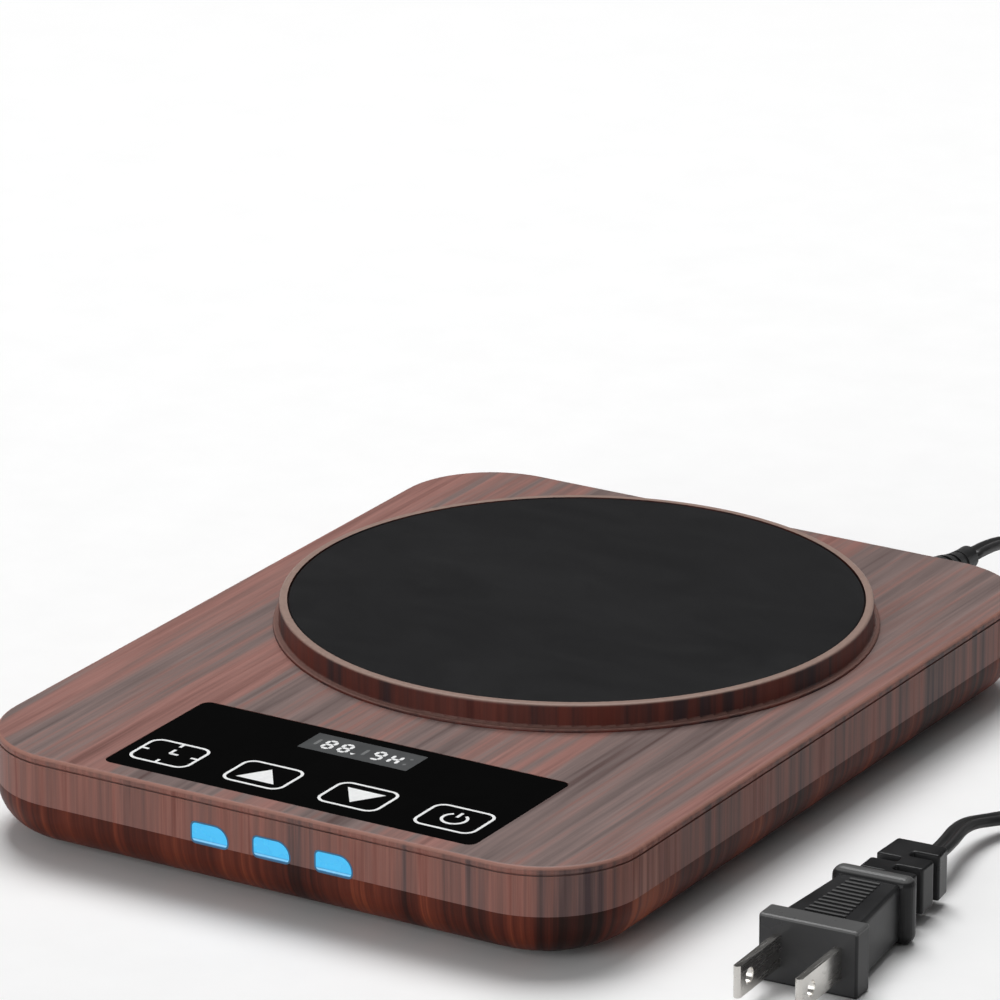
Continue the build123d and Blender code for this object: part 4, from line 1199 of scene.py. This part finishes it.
for side_x, side_y in ((1, 0), (-1, 0), (0, 1), (0, -1)):
    outer_end = Vector((dial_x + side_x * inner_width / 2, key_line + side_y * inner_depth / 2))
    sign_bar(outer_end, outer_end - Vector((side_x, side_y)) * tick_length)
for tip_x, tip_y in hand_tips:
    sign_bar((dial_x, key_line), (dial_x + tip_x, key_line + tip_y))
for arrow_x, way in ((up_x, 1), (down_x, -1)):
    arrow = [
        (arrow_x - arrow_base / 2, key_line - way * arrow_height / 2),
        (arrow_x + arrow_base / 2, key_line - way * arrow_height / 2),
        (arrow_x, key_line + way * arrow_height / 2),
    ]
    raised_shape(sign_shape, arrow if way > 0 else arrow[::-1], lens_top, print_lift)


def standby_arc(radius):
    """Points of the standby sign's open ring at a radius, from one side of its gap to the other."""
    sweep = tau - 2 * standby_gap
    angles = (pi / 2 + standby_gap + sweep * step / standby_steps for step in range(standby_steps + 1))
    return [(standby_x + radius * cos(angle), key_line + radius * sin(angle)) for angle in angles]


outer_arc = standby_arc(standby_radius + frame_stroke / 2)
inner_arc = standby_arc(standby_radius - frame_stroke / 2)
raised_shape(sign_shape, outer_arc + inner_arc[::-1], lens_top, print_lift)
bar_foot, bar_head = ((standby_x, key_line + rise) for rise in standby_bar)
sign_bar(bar_foot, bar_head)
bmesh.ops.recalc_face_normals(sign_shape, faces=sign_shape.faces)
key_signs = new_piece("key_signs", sign_shape, white_print)
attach(key_signs, "root")


# Floor and light: a white table top that turns into a white backdrop further out, a soft lamp
# high up behind the mat, a wide dim one before its front, and a surround that is white at the
# horizon, dark low down, so that gloss stays deep, and pale above.
backdrop_near = 0.3
backdrop_far = 0.9
floor_reach = 6.0
floor_gloss = 0.1


def floor_finish():
    """White laminate with a barely visible grain, and plain white where it is the backdrop."""
    material, tree, shader = new_finish("floor_white")
    place = places_on(tree)
    grain = stretched_noise(tree, place, (60, 60, 60), detail=3)
    colour = ramp(tree, grain, [(0.3, (0.93, 0.93, 0.93)), (0.7, (0.95, 0.95, 0.95))])
    tree.links.new(colour, shader.inputs["Base Color"])
    shader.inputs["Roughness"].default_value = 0.7
    shader.inputs["Specular IOR Level"].default_value = floor_gloss
    flat = reckon_place(tree, "MULTIPLY", place, (1, 1, 0))
    distance = add(tree, "ShaderNodeVectorMath", {0: flat}, operation="LENGTH").outputs["Value"]
    ray = add(tree, "ShaderNodeLightPath").outputs
    seen = reckon(tree, "ADD", ray["Is Camera Ray"], ray["Is Glossy Ray"])
    seen = reckon(tree, "ADD", seen, ray["Is Transmission Ray"])
    share = reckon(tree, "MULTIPLY", seen, remap(tree, distance, backdrop_near, backdrop_far, 0, 1))
    backdrop = add(tree, "ShaderNodeEmission", {"Color": (1, 1, 1, 1), "Strength": 1}).outputs[0]
    surface = shader.outputs["BSDF"].links[0].to_socket
    cover = add(tree, "ShaderNodeMixShader", {0: share, 1: shader.outputs["BSDF"], 2: backdrop})
    tree.links.new(cover.outputs[0], surface)
    return material


floor_shape = bmesh.new()
bmesh.ops.create_grid(floor_shape, x_segments=4, y_segments=4, size=floor_reach)
floor = new_piece("floor", floor_shape, floor_finish())


def soft_lamp(name, place, size, power):
    """A square lamp of one size that faces the object."""
    lamp_data = bpy.data.lights.new(name, "AREA")
    lamp_data.shape = "SQUARE"
    lamp_data.size = size
    lamp_data.energy = power
    lamp = bpy.data.objects.new(name, lamp_data)
    lamp.location = place
    lamp.rotation_euler = (-Vector(place)).to_track_quat("-Z", "Y").to_euler()
    scene.collection.objects.link(lamp)


soft_lamp("main_lamp", place=(-0.30, 0.46, 1.50), size=0.95, power=22.0)
soft_lamp("front_lamp", place=(-0.15, -1.72, 0.56), size=1.2, power=12.5)

world = bpy.data.worlds.new("surround")
world.use_nodes = True
scene.world = world
world_tree = world.node_tree
world_tree.nodes.clear()
direction = add(world_tree, "ShaderNodeTexCoord").outputs["Generated"]
elevation = axis_of(world_tree, direction, "Z")
surround_levels = [(0.06, 1.0), (0.10, 0.035), (0.45, 0.035), (0.68, 0.24)]
surround_greys = [(height, (level, level, level)) for height, level in surround_levels]
surround = ramp(world_tree, elevation, surround_greys)
glow = add(world_tree, "ShaderNodeBackground", {"Color": surround, "Strength": 1})
world_out = add(world_tree, "ShaderNodeOutputWorld")
world_tree.links.new(glow.outputs["Background"], world_out.inputs["Surface"])
